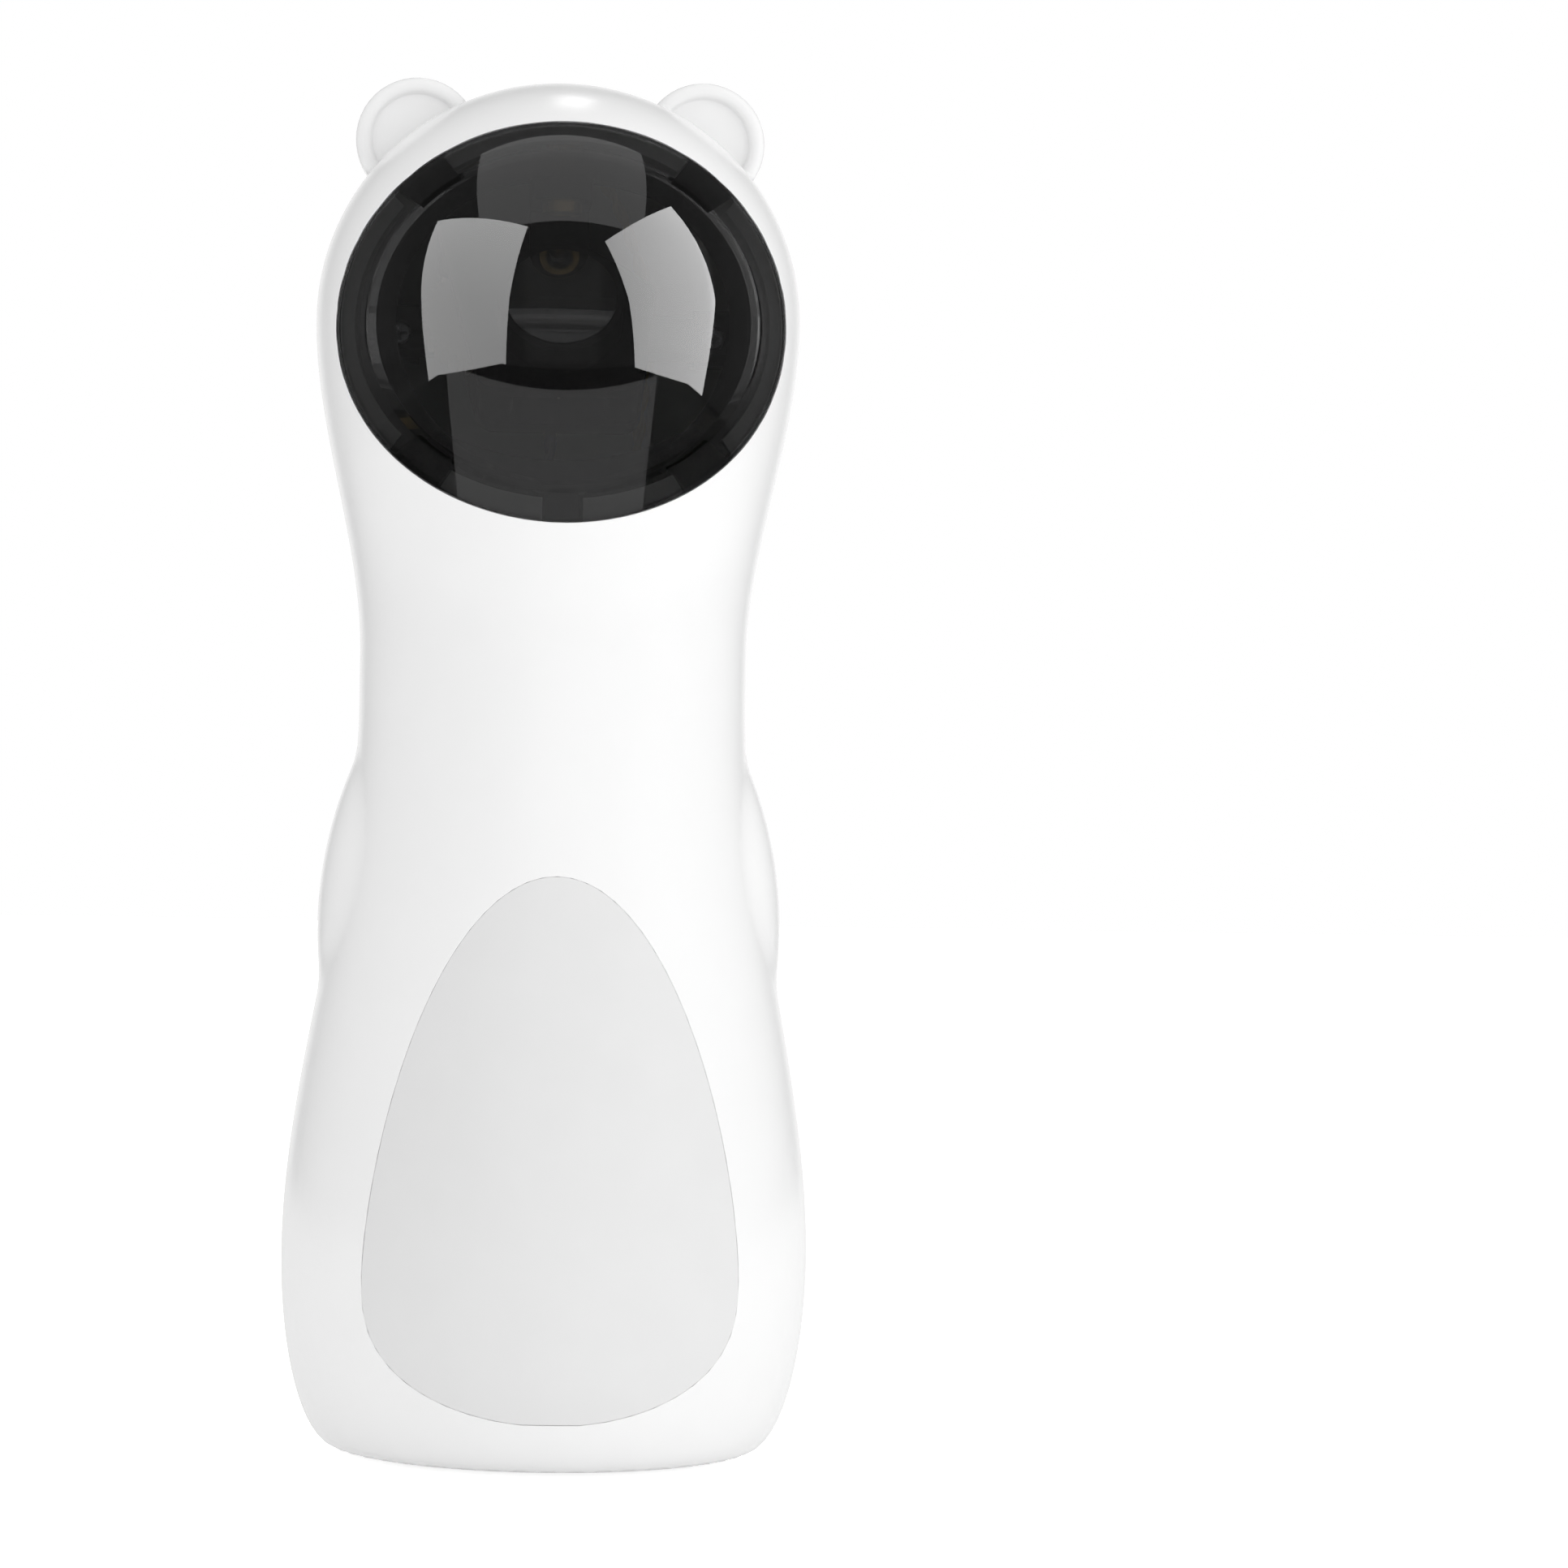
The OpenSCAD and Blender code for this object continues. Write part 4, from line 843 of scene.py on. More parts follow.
    def lay(self, mesh: BMesh, rim: list[tuple]) -> None:
        """Lays a fine new skin inside the border.

        Args:
            mesh: the solid without its skin.
            rim: the border's edges, each with whether the wall beside it falls away.
        """
        verts = list({v: None for edge, _ in rim for v in edge.verts})
        number = {v: i for i, v in enumerate(verts)}
        edges = np.array([[number[v] for v in edge.verts] for edge, _ in rim])
        falls = np.zeros(len(verts), bool)
        for (_, down), pair in zip(rim, edges):
            falls[pair] |= down
        places, normals = self.form.settle(np.array([v.co for v in verts]) / MM)
        pole = np.flatnonzero(np.hypot(places[:, 0], places[:, 1]) < self.pole_r)
        sheet, copies = self.open_pole(Sheet(self.flatten(places), edges), pole)
        rings, links, depth = self.rings(sheet, falls)
        taken = np.vstack([sheet.points, rings])
        points = [Vector(p) for p in np.vstack([taken, self.grid(sheet, taken)])]
        cuts = np.vstack([sheet.edges, links + len(sheet.points)]).tolist()
        made, _, faces, sources, *_ = delaunay_2d_cdt(points, cuts, [], 0, self.weld, True)
        made = np.array([tuple(p) for p in made])
        known: list[Vert | None] = [None] * len(made)
        sunk = np.zeros(len(made))
        for i, source in enumerate(sources):
            for s in source:
                if s < len(sheet.points):
                    known[i] = verts[copies[s]]
                elif s < len(taken):
                    sunk[i] = depth[s - len(sheet.points)]
        for i, vert in enumerate(verts):
            self.set_corner(mesh, vert, places[i], normals[i], self.round_off if falls[i] else 0.0)
        places, normals = self.fold(made)
        for i, vert in enumerate(known):
            if vert is None:
                known[i] = mesh.verts.new()
                self.set_corner(mesh, known[i], places[i], normals[i], sunk[i])
        inside = sheet.within(np.array([made[face].mean(0) for face in faces]))
        for keep, face in zip(inside, faces):
            ring = [known[c] for c in face]
            if keep and len(set(ring)) == len(ring):
                self.add_face(mesh, ring, Vector(normals[face].mean(0)))
        loose = [v for v in mesh.verts if not v.link_faces]
        bmesh.ops.delete(mesh, geom=loose, context="VERTS")

    def set_corner(self, mesh: BMesh, vert: Vert, spot: Array, normal: Array, sunk: float) -> None:
        """Puts a corner in its place, with the true normal where it lies on the outside.

        Args:
            mesh: the mesh.
            vert: the corner.
            spot: its place on the outside.
            normal: the outside's normal there.
            sunk: how far below the outside it goes.
        """
        vert.co = Vector(spot - sunk * normal) * MM
        if sunk < self.round_off / 10:
            vert[mesh.verts.layers.float_vector["true_normal"]] = Vector(normal)

    @staticmethod
    def add_face(mesh: BMesh, ring: list[Vert], outward: Vector) -> None:
        """Adds a three-cornered face that looks outwards, unless it is there.

        Args:
            mesh: the mesh.
            ring: its corners.
            outward: the outside's normal there.
        """
        first, second, third = (v.co for v in ring)
        if (second - first).cross(third - first).dot(outward) < 0:
            ring.reverse()
        if mesh.faces.get(ring) is None:
            mesh.faces.new(ring)

    def open_pole(self, sheet: Sheet, pole: Array) -> tuple[Sheet, Array]:
        """Spreads the crown's single point along the top of the sheet.

        Args:
            sheet: the border.
            pole: numbers of the points at the crown, if the border has them.

        Returns:
            The border with the crown spread out, and each point's original.
        """
        base = len(sheet.points)
        copies = np.arange(base)
        if not len(pole):
            return sheet, copies
        limit = self.turn_scale * math.pi / 2
        steps = np.linspace(-limit, limit, self.pole_steps)
        last = base + len(steps) - 1
        edges = sheet.edges.copy()
        for pair in edges:
            for k in (0, 1):
                if pair[k] in pole:
                    pair[k] = base if sheet.points[pair[1 - k], 0] < 0 else last
        along = np.arange(base, last)
        lid = np.c_[steps, np.full(len(steps), self.form.outline()[-1, 2])]
        whole = Sheet(np.vstack([sheet.points, lid]), np.vstack([edges, np.c_[along, along + 1]]))
        return whole, np.r_[copies, np.full(len(steps), pole[0])]

    def rings(self, sheet: Sheet, falls: Array) -> tuple[Array, Array, Array]:
        """Lines beside the border that round its edge off.

        Args:
            sheet: the border.
            falls: which border points have a wall that falls away.

        Returns:
            Ring points, their edges and how far each is sunk.
        """
        line, flat = self.form.outline(), sheet.points
        radius = np.interp(flat[:, 1], line[:, 2], line[:, 0])
        squeeze = np.maximum(radius, self.least_r) / self.turn_scale
        push = np.zeros_like(flat)
        for a, b in sheet.edges:
            along = (flat[b] - flat[a]) * [squeeze[a], 1]
            across = np.array([-along[1], along[0]]) / max(np.hypot(*along), TINY)
            probe = (flat[a] + flat[b]) / 2 + self.probe * across / [squeeze[a], 1]
            side = 1 if sheet.within(probe[None])[0] else -1
            push[a] += side * across
            push[b] += side * across
        size = np.maximum(np.hypot(*push.T), TINY)
        push = push / size[:, None]
        push[:, 0] /= squeeze
        chosen = [i for i in range(len(falls)) if falls[i] and size[i] > self.least_push]
        number = {c: i for i, c in enumerate(chosen)}
        points, links, depth = [], [], []
        for k, (share, sunk) in enumerate(self.ring_shares):
            points += [flat[c] + push[c] * share * self.round_off for c in chosen]
            depth += [sunk * self.round_off] * len(chosen)
            for a, b in sheet.edges:
                if a in number and b in number:
                    links.append((number[a] + k * len(chosen), number[b] + k * len(chosen)))
        return np.reshape(points, (-1, 2)), np.reshape(links, (-1, 2)).astype(int), np.array(depth)

    def grid(self, sheet: Sheet, taken: Array) -> Array:
        """Points over the sheet, clear of the border and finer at the arms' creases.

        Args:
            sheet: the border.
            taken: points already there.

        Returns:
            The new points.
        """
        limit = self.turn_scale * math.pi / 2
        columns = np.linspace(-limit, limit, int(2 * limit / self.step) + 1)[1:-1]
        rows = np.arange(self.step / 2, self.form.outline()[-1, 2] - self.top_gap, self.step)
        points = np.array([(u, v) for v in rows for u in columns])
        crease = self.crease_points()
        points = points[self.gaps(points, crease) > self.step * self.crease_gap]
        points = np.vstack([points, crease])
        points = points[self.gaps(points, taken) > self.step * self.border_gap]
        return points[sheet.within(points)]

    def crease_points(self) -> Array:
        """Points along and beside the line where each arm meets the body.

        Returns:
            Rows of scaled turn and running length.
        """
        form = self.form
        z = np.arange(form.arm_z - form.arm_below, form.arm_z + form.arm_above, self.step / 2)
        radius, arm, offset = form.radius(z), form.arm_radius(z), form.arm_axis
        sine = (radius**2 + offset**2 - arm**2) / (2 * radius * offset)
        on = (sine < 1) & (arm > 0)
        line = form.outline()
        turn = np.arcsin(np.clip(sine[on], 0, 1)) * self.turn_scale
        length = np.interp(z[on], line[:, 1], line[:, 2])
        lines = np.array(self.crease_lines) * form.crease
        right = np.vstack([np.c_[turn + shift, length] for shift in (*-lines[::-1], *lines)])
        right = right[right[:, 0] < self.turn_scale * math.pi / 2 - self.edge_gap]
        return np.vstack([right, right * [-1, 1]])

    def gaps(self, points: Array, others: Array) -> Array:
        """Distance of each point to the nearest of some others.

        Args:
            points: rows of two values.
            others: rows of two values.

        Returns:
            The distances.
        """
        best = np.empty(len(points))
        for part in in_parts(len(points), self.gap_rows):
            gap = points[part, None, :] - others[None, :, :]
            best[part] = np.sqrt((gap**2).sum(2).min(1))
        return best

    def smooth(self, data: Mesh) -> None:
        """Shades the skin by its true normals, and the rest by its edges.

        Args:
            data: the mesh.
        """
        shade_by_edges(data, self.sharp_angle)
        corner = np.zeros(len(data.loops), np.int32)
        data.loops.foreach_get("vertex_index", corner)
        wanted = read_rows(data.attributes["true_normal"].data, "vector")[corner]
        shaded = read_rows(data.corner_normals, "vector")
        face = np.repeat(read_rows(data.polygons, "normal"), 3, axis=0)
        use = (wanted * face).sum(1) > self.own_normal
        shaded[use] = wanted[use]
        data.attributes.remove(data.attributes["true_normal"])
        data.normals_split_custom_set(shaded.tolist())


# ---- Geometry node trees ----


class Tree(Wires):
    """A geometry node tree with named sizes, which works on a mesh."""

    def __init__(self, name: str) -> None:
        """Starts a tree.

        Args:
            name: its name.
        """
        self.group = bpy.data.node_groups.new(name, "GeometryNodeTree")
        super().__init__(self.group)
        self.face = self.group.interface
        for way in ("INPUT", "OUTPUT"):
            self.face.new_socket("Geometry", in_out=way, socket_type="NodeSocketGeometry")
        self.entry, self.exit = self.add("NodeGroupInput"), self.add("NodeGroupOutput")
        self.start = self.entry.outputs["Geometry"]

    def sizes(self, names: Iterable[str]) -> dict[str, Field]:
        """Adds sizes to the tree's inputs.

        Args:
            names: the sizes' names.

        Returns:
            The sizes by name.
        """
        for name in names:
            self.face.new_socket(name, in_out="INPUT", socket_type="NodeSocketFloat")
        return {name: Field(self, self.entry.outputs[name]) for name in names}

    def make(
        self, kind: str, inputs: dict | None = None, out: str | int = 0, **settings: object
    ) -> Socket:
        """Adds a geometry node.

        Args:
            kind: the node's type.
            inputs: what its input sockets get.
            out: the output wanted.
            settings: its own settings.

        Returns:
            The output.
        """
        return self.add("GeometryNode" + kind, inputs, **settings).outputs[out]

    def step(self, value: Field, low: Field, high: Field) -> Field:
        """A smooth step from 0 to 1.

        Args:
            value: what it goes by.
            low: where it starts.
            high: where it ends.

        Returns:
            The step.
        """
        inputs = {"Value": value, "From Min": low, "From Max": high}
        node = self.add("ShaderNodeMapRange", inputs, interpolation_type="SMOOTHSTEP")
        return Field(self, node.outputs["Result"])

    def combine(self, *values: Field | float) -> Socket:
        """A vector from three values."""
        return self.add("ShaderNodeCombineXYZ", dict(enumerate(values))).outputs[0]

    def parts(self, vector: Socket) -> tuple[Field, ...]:
        """The three values of a vector."""
        node = self.add("ShaderNodeSeparateXYZ", {0: vector})
        return tuple(Field(self, out) for out in node.outputs[:3])

    def join(self, pieces: list[Socket]) -> Socket:
        """Joins geometries.

        Args:
            pieces: the geometries.

        Returns:
            All of them as one.
        """
        node = self.add("GeometryNodeJoinGeometry")
        for piece in pieces:
            self.feed(node, {"Geometry": piece})
        return node.outputs["Geometry"]

    def hold(self, geometry: Socket, kind: str, value: Socket) -> tuple[Socket, Socket]:
        """Stores a value on a geometry's points.

        Args:
            geometry: the geometry.
            kind: the value's kind.
            value: the value.

        Returns:
            The geometry and the stored value.
        """
        node = self.add("GeometryNodeCaptureAttribute", domain="POINT")
        node.capture_items.new(kind, "held")
        self.feed(node, {"Geometry": geometry, "held": value})
        return node.outputs["Geometry"], node.outputs["held"]

    def ring(self, radius: Field | float, sides: int) -> Socket:
        """A circle of so many sides."""
        inputs = {"Resolution": sides, "Radius": radius}
        return self.make("CurvePrimitiveCircle", inputs, mode="RADIUS")

    def spiral(self, radius: Field, rise: Field, turns: Field | float, steps: int) -> Socket:
        """An upright spiral that keeps its radius.

        Args:
            radius: its radius.
            rise: its height.
            turns: number of turns.
            steps: number of parts in a turn.

        Returns:
            The curve.
        """
        inputs = {"Resolution": steps, "Rotations": turns, "Height": rise}
        path = self.make("CurveSpiral", {**inputs, "Start Radius": radius, "End Radius": radius})
        return self.make("SetCurveNormal", {"Curve": path}, mode="Z_UP")

    def sweep(self, curve: Socket, profile: Socket, capped: bool = True) -> Socket:
        """A profile swept along a curve."""
        inputs = {"Curve": curve, "Profile Curve": profile, "Fill Caps": capped}
        return self.make("CurveToMesh", inputs)

    def close(self, geometry: Socket, finish: Material) -> None:
        """Ends the tree: instances become real and take their material.

        Args:
            geometry: the finished geometry.
            finish: its material.
        """
        real = self.make("RealizeInstances", {"Geometry": geometry})
        dressed = self.make("SetMaterial", {"Geometry": real, "Material": finish})
        self.feed(self.exit, {"Geometry": dressed})

    def grow(self, name: str, seed: Mesh, sizes: dict[str, float], sharp: float) -> Piece:
        """Runs the tree on a mesh and keeps the result as a plain mesh.

        Args:
            name: the piece's name.
            seed: the mesh that it starts from.
            sizes: a value for each named size.
            sharp: angle above which an edge stays sharp, in degrees.

        Returns:
            The piece, with no modifier left on it.
        """
        holder = show(name + "_seed", seed)
        modifier = holder.modifiers.new("grow", "NODES")
        modifier.node_group = self.group
        for item in self.face.items_tree:
            if item.item_type == "SOCKET" and item.in_out == "INPUT" and item.name in sizes:
                modifier[item.identifier] = sizes[item.name]
        bpy.context.view_layer.update()
        ready = holder.evaluated_get(bpy.context.evaluated_depsgraph_get())
        data = bpy.data.meshes.new_from_object(ready)
        data.name = name
        bpy.data.objects.remove(holder)
        piece = show(name, data)
        face_outwards(piece, sharp)
        return piece


# ---- Curved covers ----


class CoverShape(Enum):
    """The two outlines that a cover can have."""

    POINTED = "pointed"
    OVAL = "oval"


@dataclass
class Cover:
    """A cover set flush into the case: the smoked visor or the belly panel."""

    name: str
    node: str
    slot: str
    shape: CoverShape
    form: CaseForm
    half_width: float
    top_z: float
    low_z: float
    middle_z: float
    centre_z: float
    thick: float = 2.0
    parting: float = 0.1  # gap to the case
    round_off: float = 0.25
    skirt: Triple | None = None  # distance in from the edge, width and depth
    lugs: dict[float, float] = field(default_factory=dict)  # half a width for each angle
    lug_depth: float = 3.7
    lug_bite: tuple[float, float] = (0.1, 0.2)  # into the cover and into the skirt
    depth: float = 22.2  # of the pointed outline below its widest place
    upper_power: float = 1.6
    lower_power: float = 2.7
    around: int = 288
    rows: int = 56
    round_turn: int = 15  # degrees between the points of a rounded edge
    slope_step: float = 0.02  # height over which the case's slope is taken
    sharp: float = 40  # degrees above which an edge stays sharp

    def section(self) -> list[Triple]:
        """The cover's section from its middle outside to its middle inside.

        Returns:
            Share of the way to the outline, depth below the case's surface, and
            distance in from the outline, for each point.
        """
        spread = [math.sin(math.pi / 2 * i / self.rows) for i in range(self.rows)]
        points = [(share, 0.0, share * (self.parting + self.round_off)) for share in spread]
        for degrees in range(0, 91, self.round_turn):
            turn = math.radians(degrees)
            sunk, inward = self.round_off * (1 - math.cos(turn)), self.round_off * (1 - math.sin(turn))
            points.append((1, sunk, self.parting + inward))
        points.append((1, self.thick, self.parting))
        last = self.parting
        if self.skirt:
            inset, wide, deep = self.skirt
            for depth, inward in ((self.thick, inset), (deep, inset), (deep, inset + wide)):
                points.append((1, depth, self.parting + inward))
            last += inset + wide
        return points + [(share, self.thick, share * last) for share in reversed([*spread, 1])]

    def seed(self) -> Mesh:
        """Makes the mesh that the tree works on.

        Returns:
            The section as a line, with the lugs' section beside it as a closed loop.
        """
        points, loop = self.section(), []
        if self.lugs:
            top, low = self.thick - self.lug_bite[0], self.lug_depth
            outer, inner = self.parting, self.parting + self.skirt[0] + self.lug_bite[1]
            loop = [(1, top, outer), (1, low, outer), (1, low, inner), (1, top, inner)]
        n, m = len(points), len(loop)
        edges = [(i, i + 1) for i in range(n - 1)] + [(n + i, n + (i + 1) % m) for i in range(m)]
        return new_mesh(self.name + "_section", points + loop, edges)

    def build(self, finish: Material) -> Piece:
        """Makes the cover.

        Args:
            finish: its material.

        Returns:
            The piece.
        """
        form = self.form
        sizes = {
            "Half width": self.half_width,
            "Top": self.top_z,
            "Bottom": self.low_z,
            "Middle": self.middle_z,
            "Centre": self.centre_z,
            "Depth": self.depth,
            "Upper bend": 2 / self.upper_power,
            "Lower bend": 2 / self.lower_power,
            "Base radius": form.base_r,
            "Hip radius": form.hip_r,
            "Hip height": form.hip_z,
            "Foot height": form.foot_z,
            "Neck radius": form.neck_r,
            "Neck low": form.neck_low,
            "Neck high": form.neck_high,
            "Head radius": form.head_r,
            "Head height": form.head_z,
            "Crown": form.crown_h,
        }
        tree = Tree("curved_cover")
        given = tree.sizes(sizes)
        path, turn = tree.hold(
            tree.ring(1.0, self.around), "FLOAT", tree.make("SplineParameter", out="Factor")
        )
        strip, section = tree.hold(tree.start, "VECTOR", tree.make("InputPosition"))
        swept = self.sweep(tree, path, tree.make("MeshToCurve", {"Mesh": strip}))
        where = self.where(tree, given, Field(tree, turn) * (2 * math.pi), tree.parts(section))
        moved = tree.make("SetPosition", {"Geometry": swept, "Position": where})
        merged = tree.make("MergeByDistance", {"Geometry": moved, "Distance": MERGED})
        tree.close(merged, finish)
        piece = tree.grow(self.name, self.seed(), sizes, self.sharp)
        return place(piece, "case", self.slot, self.node)

    def sweep(self, tree: Tree, path: Socket, strips: Socket) -> Socket:
        """Sweeps the open section all round and the closed one along each lug.

        Args:
            tree: the tree.
            path: the circle.
            strips: both sections.

        Returns:
            The swept mesh.
        """
        inputs = {"Geometry": strips, "Selection": tree.make("InputSplineCyclic")}
        loop, line = tree.add("GeometryNodeSeparateGeometry", inputs, domain="CURVE").outputs[:2]
        swept = [tree.sweep(path, line, capped=False)]
        for middle, half in self.lugs.items():
            ends = {"Start": (middle - half) / 360, "End": (middle + half) / 360}
            part = tree.make("TrimCurve", {"Curve": path, **ends}, mode="FACTOR")
            swept.append(tree.sweep(part, loop))
        return tree.join(swept)

    def where(
        self, tree: Tree, given: dict[str, Field], angle: Field, section: tuple[Field, ...]
    ) -> Socket:
        """The place of each point on the case's curve.

        Args:
            tree: the tree.
            given: the named sizes.
            angle: angle round the middle.
            section: share of the way to the outline, depth and distance in from it.

        Returns:
            The place, in metres.
        """
        share, depth, inward = section
        across, up = self.outline(given, angle)
        size = (across * across + up * up).apply("SQRT")
        reach = (share - inward / size).apply("MAXIMUM", 0.0)
        x, z = across * reach, given["Centre"] + up * reach
        radius, step = self.radius(tree, given, z), self.slope_step
        slope = (self.radius(tree, given, z + step) - self.radius(tree, given, z - step)) / (2 * step)
        y = (radius * radius - x * x).apply("MAXIMUM", 0.0).apply("SQRT")
        sunk = depth / (slope * slope + 1.0).apply("SQRT")
        back = sunk / radius
        return tree.combine((x - x * back) * MM, (y * back - y) * MM, (z + sunk * slope) * MM)

    def outline(self, given: dict[str, Field], angle: Field) -> tuple[Field, Field]:
        """The outline's point at an angle.

        Args:
            given: the named sizes.
            angle: angle round the middle.

        Returns:
            Distances across and up from the cover's centre.
        """
        sine = angle.apply("SINE")
        across = angle.apply("COSINE") * given["Half width"]
        if self.shape is CoverShape.OVAL:
            return across, sine * (given["Top"] - given["Middle"])
        high = sine.apply("MAXIMUM", 0.0) ** given["Upper bend"]
        low = (sine * -1.0).apply("MAXIMUM", 0.0) ** given["Lower bend"]
        z = given["Middle"] + high * (given["Top"] - given["Middle"]) - low * given["Depth"]
        return across, z.apply("MAXIMUM", given["Bottom"]) - given["Centre"]

    def radius(self, tree: Tree, given: dict[str, Field], z: Field) -> Field:
        """Radius of the case, but for the arms.

        Args:
            tree: the tree.
            given: the named sizes.
            z: the height.

        Returns:
            The radius there.
        """
        hip, neck, head = (given[part + " radius"] for part in ("Hip", "Neck", "Head"))
        waist = tree.step(z, given["Hip height"], given["Neck low"])
        throat = tree.step(z, given["Neck high"], given["Head height"])
        middle = hip + waist * (neck - hip) + throat * (head - neck)
        low = (given["Hip height"] - z) / (given["Hip height"] - given["Foot height"])
        high = (z - given["Head height"]) / given["Crown"]
        edge = (low.arc() * -1.0 + 1.0) * (hip - given["Base radius"])
        return (middle - edge) * high.arc()


# ---- Leads, springs and screws ----


def catmull(points: list[Triple], steps: int) -> list[Triple]:
    """A smooth curve through points, straight between its first two and its last two.

    Args:
        points: the points to pass through.
        steps: number of parts between two points.

    Returns:
        The points of the curve.
    """
    p = np.array(points, float)
    curve = [p[0]]
    for a, b, c, d in zip(p[:-3], p[1:-2], p[2:-1], p[3:]):
        for t in np.arange(steps) / steps:
            bend = (2 * a - 5 * b + 4 * c - d) * t**2 + (3 * b - a - 3 * c + d) * t**3
            curve.append(0.5 * (2 * b + (c - a) * t + bend))
    return [tuple(q) for q in (*curve, p[-2], p[-1])]


@dataclass
class Lead:
    """A pair of insulated wires, twisted together along a given path."""

    node: str
    slot: str
    path: list[Triple]
    wire_d: float = 1.18
    twist: float = 11.0
    step: float = 0.7  # between the rings of the wires
    sides: int = 12
    parts: int = 6  # of the curve between two points of the path
    sharp: float = 50  # degrees above which an edge stays sharp

    def build(self, finish: Material) -> Piece:
        """Makes the lead.

        Args:
            finish: its material.

        Returns:
            The piece.
        """
        sizes = {"Wire radius": self.wire_d / 2 * MM, "Twist length": self.twist * MM}
        tree = Tree("twisted_lead")
        wire, pitch = tree.sizes(sizes).values()
        line = tree.make("MeshToCurve", {"Mesh": tree.start})
        even = tree.make("ResampleCurve", {"Curve": line, "Length": self.step * MM}, mode="LENGTH")
        along = Field(tree, tree.make("SplineParameter", out="Length"))
        turned = tree.make("SetCurveTilt", {"Curve": even, "Tilt": along / pitch * (2 * math.pi)})
        rings = []
        for side in (-1.0, 1.0):
            aside = tree.combine(wire * side, 0.0, 0.0)
            inputs = {"Geometry": tree.ring(wire, self.sides), "Translation": aside}
            rings.append(tree.make("Transform", inputs))
        tree.close(tree.sweep(turned, tree.join(rings)), finish)
        points = [tuple(c * MM for c in p) for p in catmull(self.path, self.parts)]
        seed = new_mesh(self.node + "_path", points, [(i, i + 1) for i in range(len(points) - 1)])
        piece = tree.grow(self.node + "_pair", seed, sizes, self.sharp)
        return place(piece, "case", self.slot, self.node)


def islands(node: str) -> list[Array]:
    """The separate bodies of a CAD node.

    Args:
        node: the node's name.

    Returns:
        The corner points of each, in millimetres, always in the same order of bodies.
    """
    mesh = merged_node(node)
    left, found = set(mesh.verts), []
    while left:
        group, queue = [], [left.pop()]
        while queue:
            vert = queue.pop()
            group.append(tuple(vert.co / MM))
            beside = {edge.other_vert(vert) for edge in vert.link_edges} & left
            left -= beside
            queue += beside
        found.append(np.array(group))
    mesh.free()
    return sorted(found, key=lambda g: tuple(g.min(0).round(1)))


@dataclass
class Springs:
    """Round-wire springs, one at each place where the CAD node has one."""

    node: str = "cell_springs"
    radius: float = 3.2
    wire_d: float = 0.6
    turns: float = 3.0
    steps: int = 40
    sides: int = 12
    sharp: float = 50  # degrees above which an edge stays sharp

    def build(self, finish: Material) -> Piece:
        """Makes the springs.

        Args:
            finish: their material.

        Returns:
            The piece.
        """
        boxes = [(body.min(0), body.max(0)) for body in islands(self.node)]
        places = []
        for low, high in boxes:
            x, y, _ = (low + high) / 2
            places.append((x * MM, y * MM, (low[2] + self.wire_d / 2) * MM))
        rise = float(boxes[0][1][2] - boxes[0][0][2]) - self.wire_d
        lengths = {"Radius": self.radius, "Wire radius": self.wire_d / 2, "Rise": rise}
        sizes = {name: length * MM for name, length in lengths.items()}
        tree = Tree("springs")
        radius, wire, height = tree.sizes(sizes).values()
        path = tree.spiral(radius, height, self.turns, self.steps)
        spring = tree.sweep(path, tree.ring(wire, self.sides))
        tree.close(tree.make("InstanceOnPoints", {"Points": tree.start, "Instance": spring}), finish)
        seed = new_mesh("spring_places", places, [])
        piece = tree.grow("round_wire_springs", seed, sizes, self.sharp)
        return place(piece, "case", "steel", self.node)


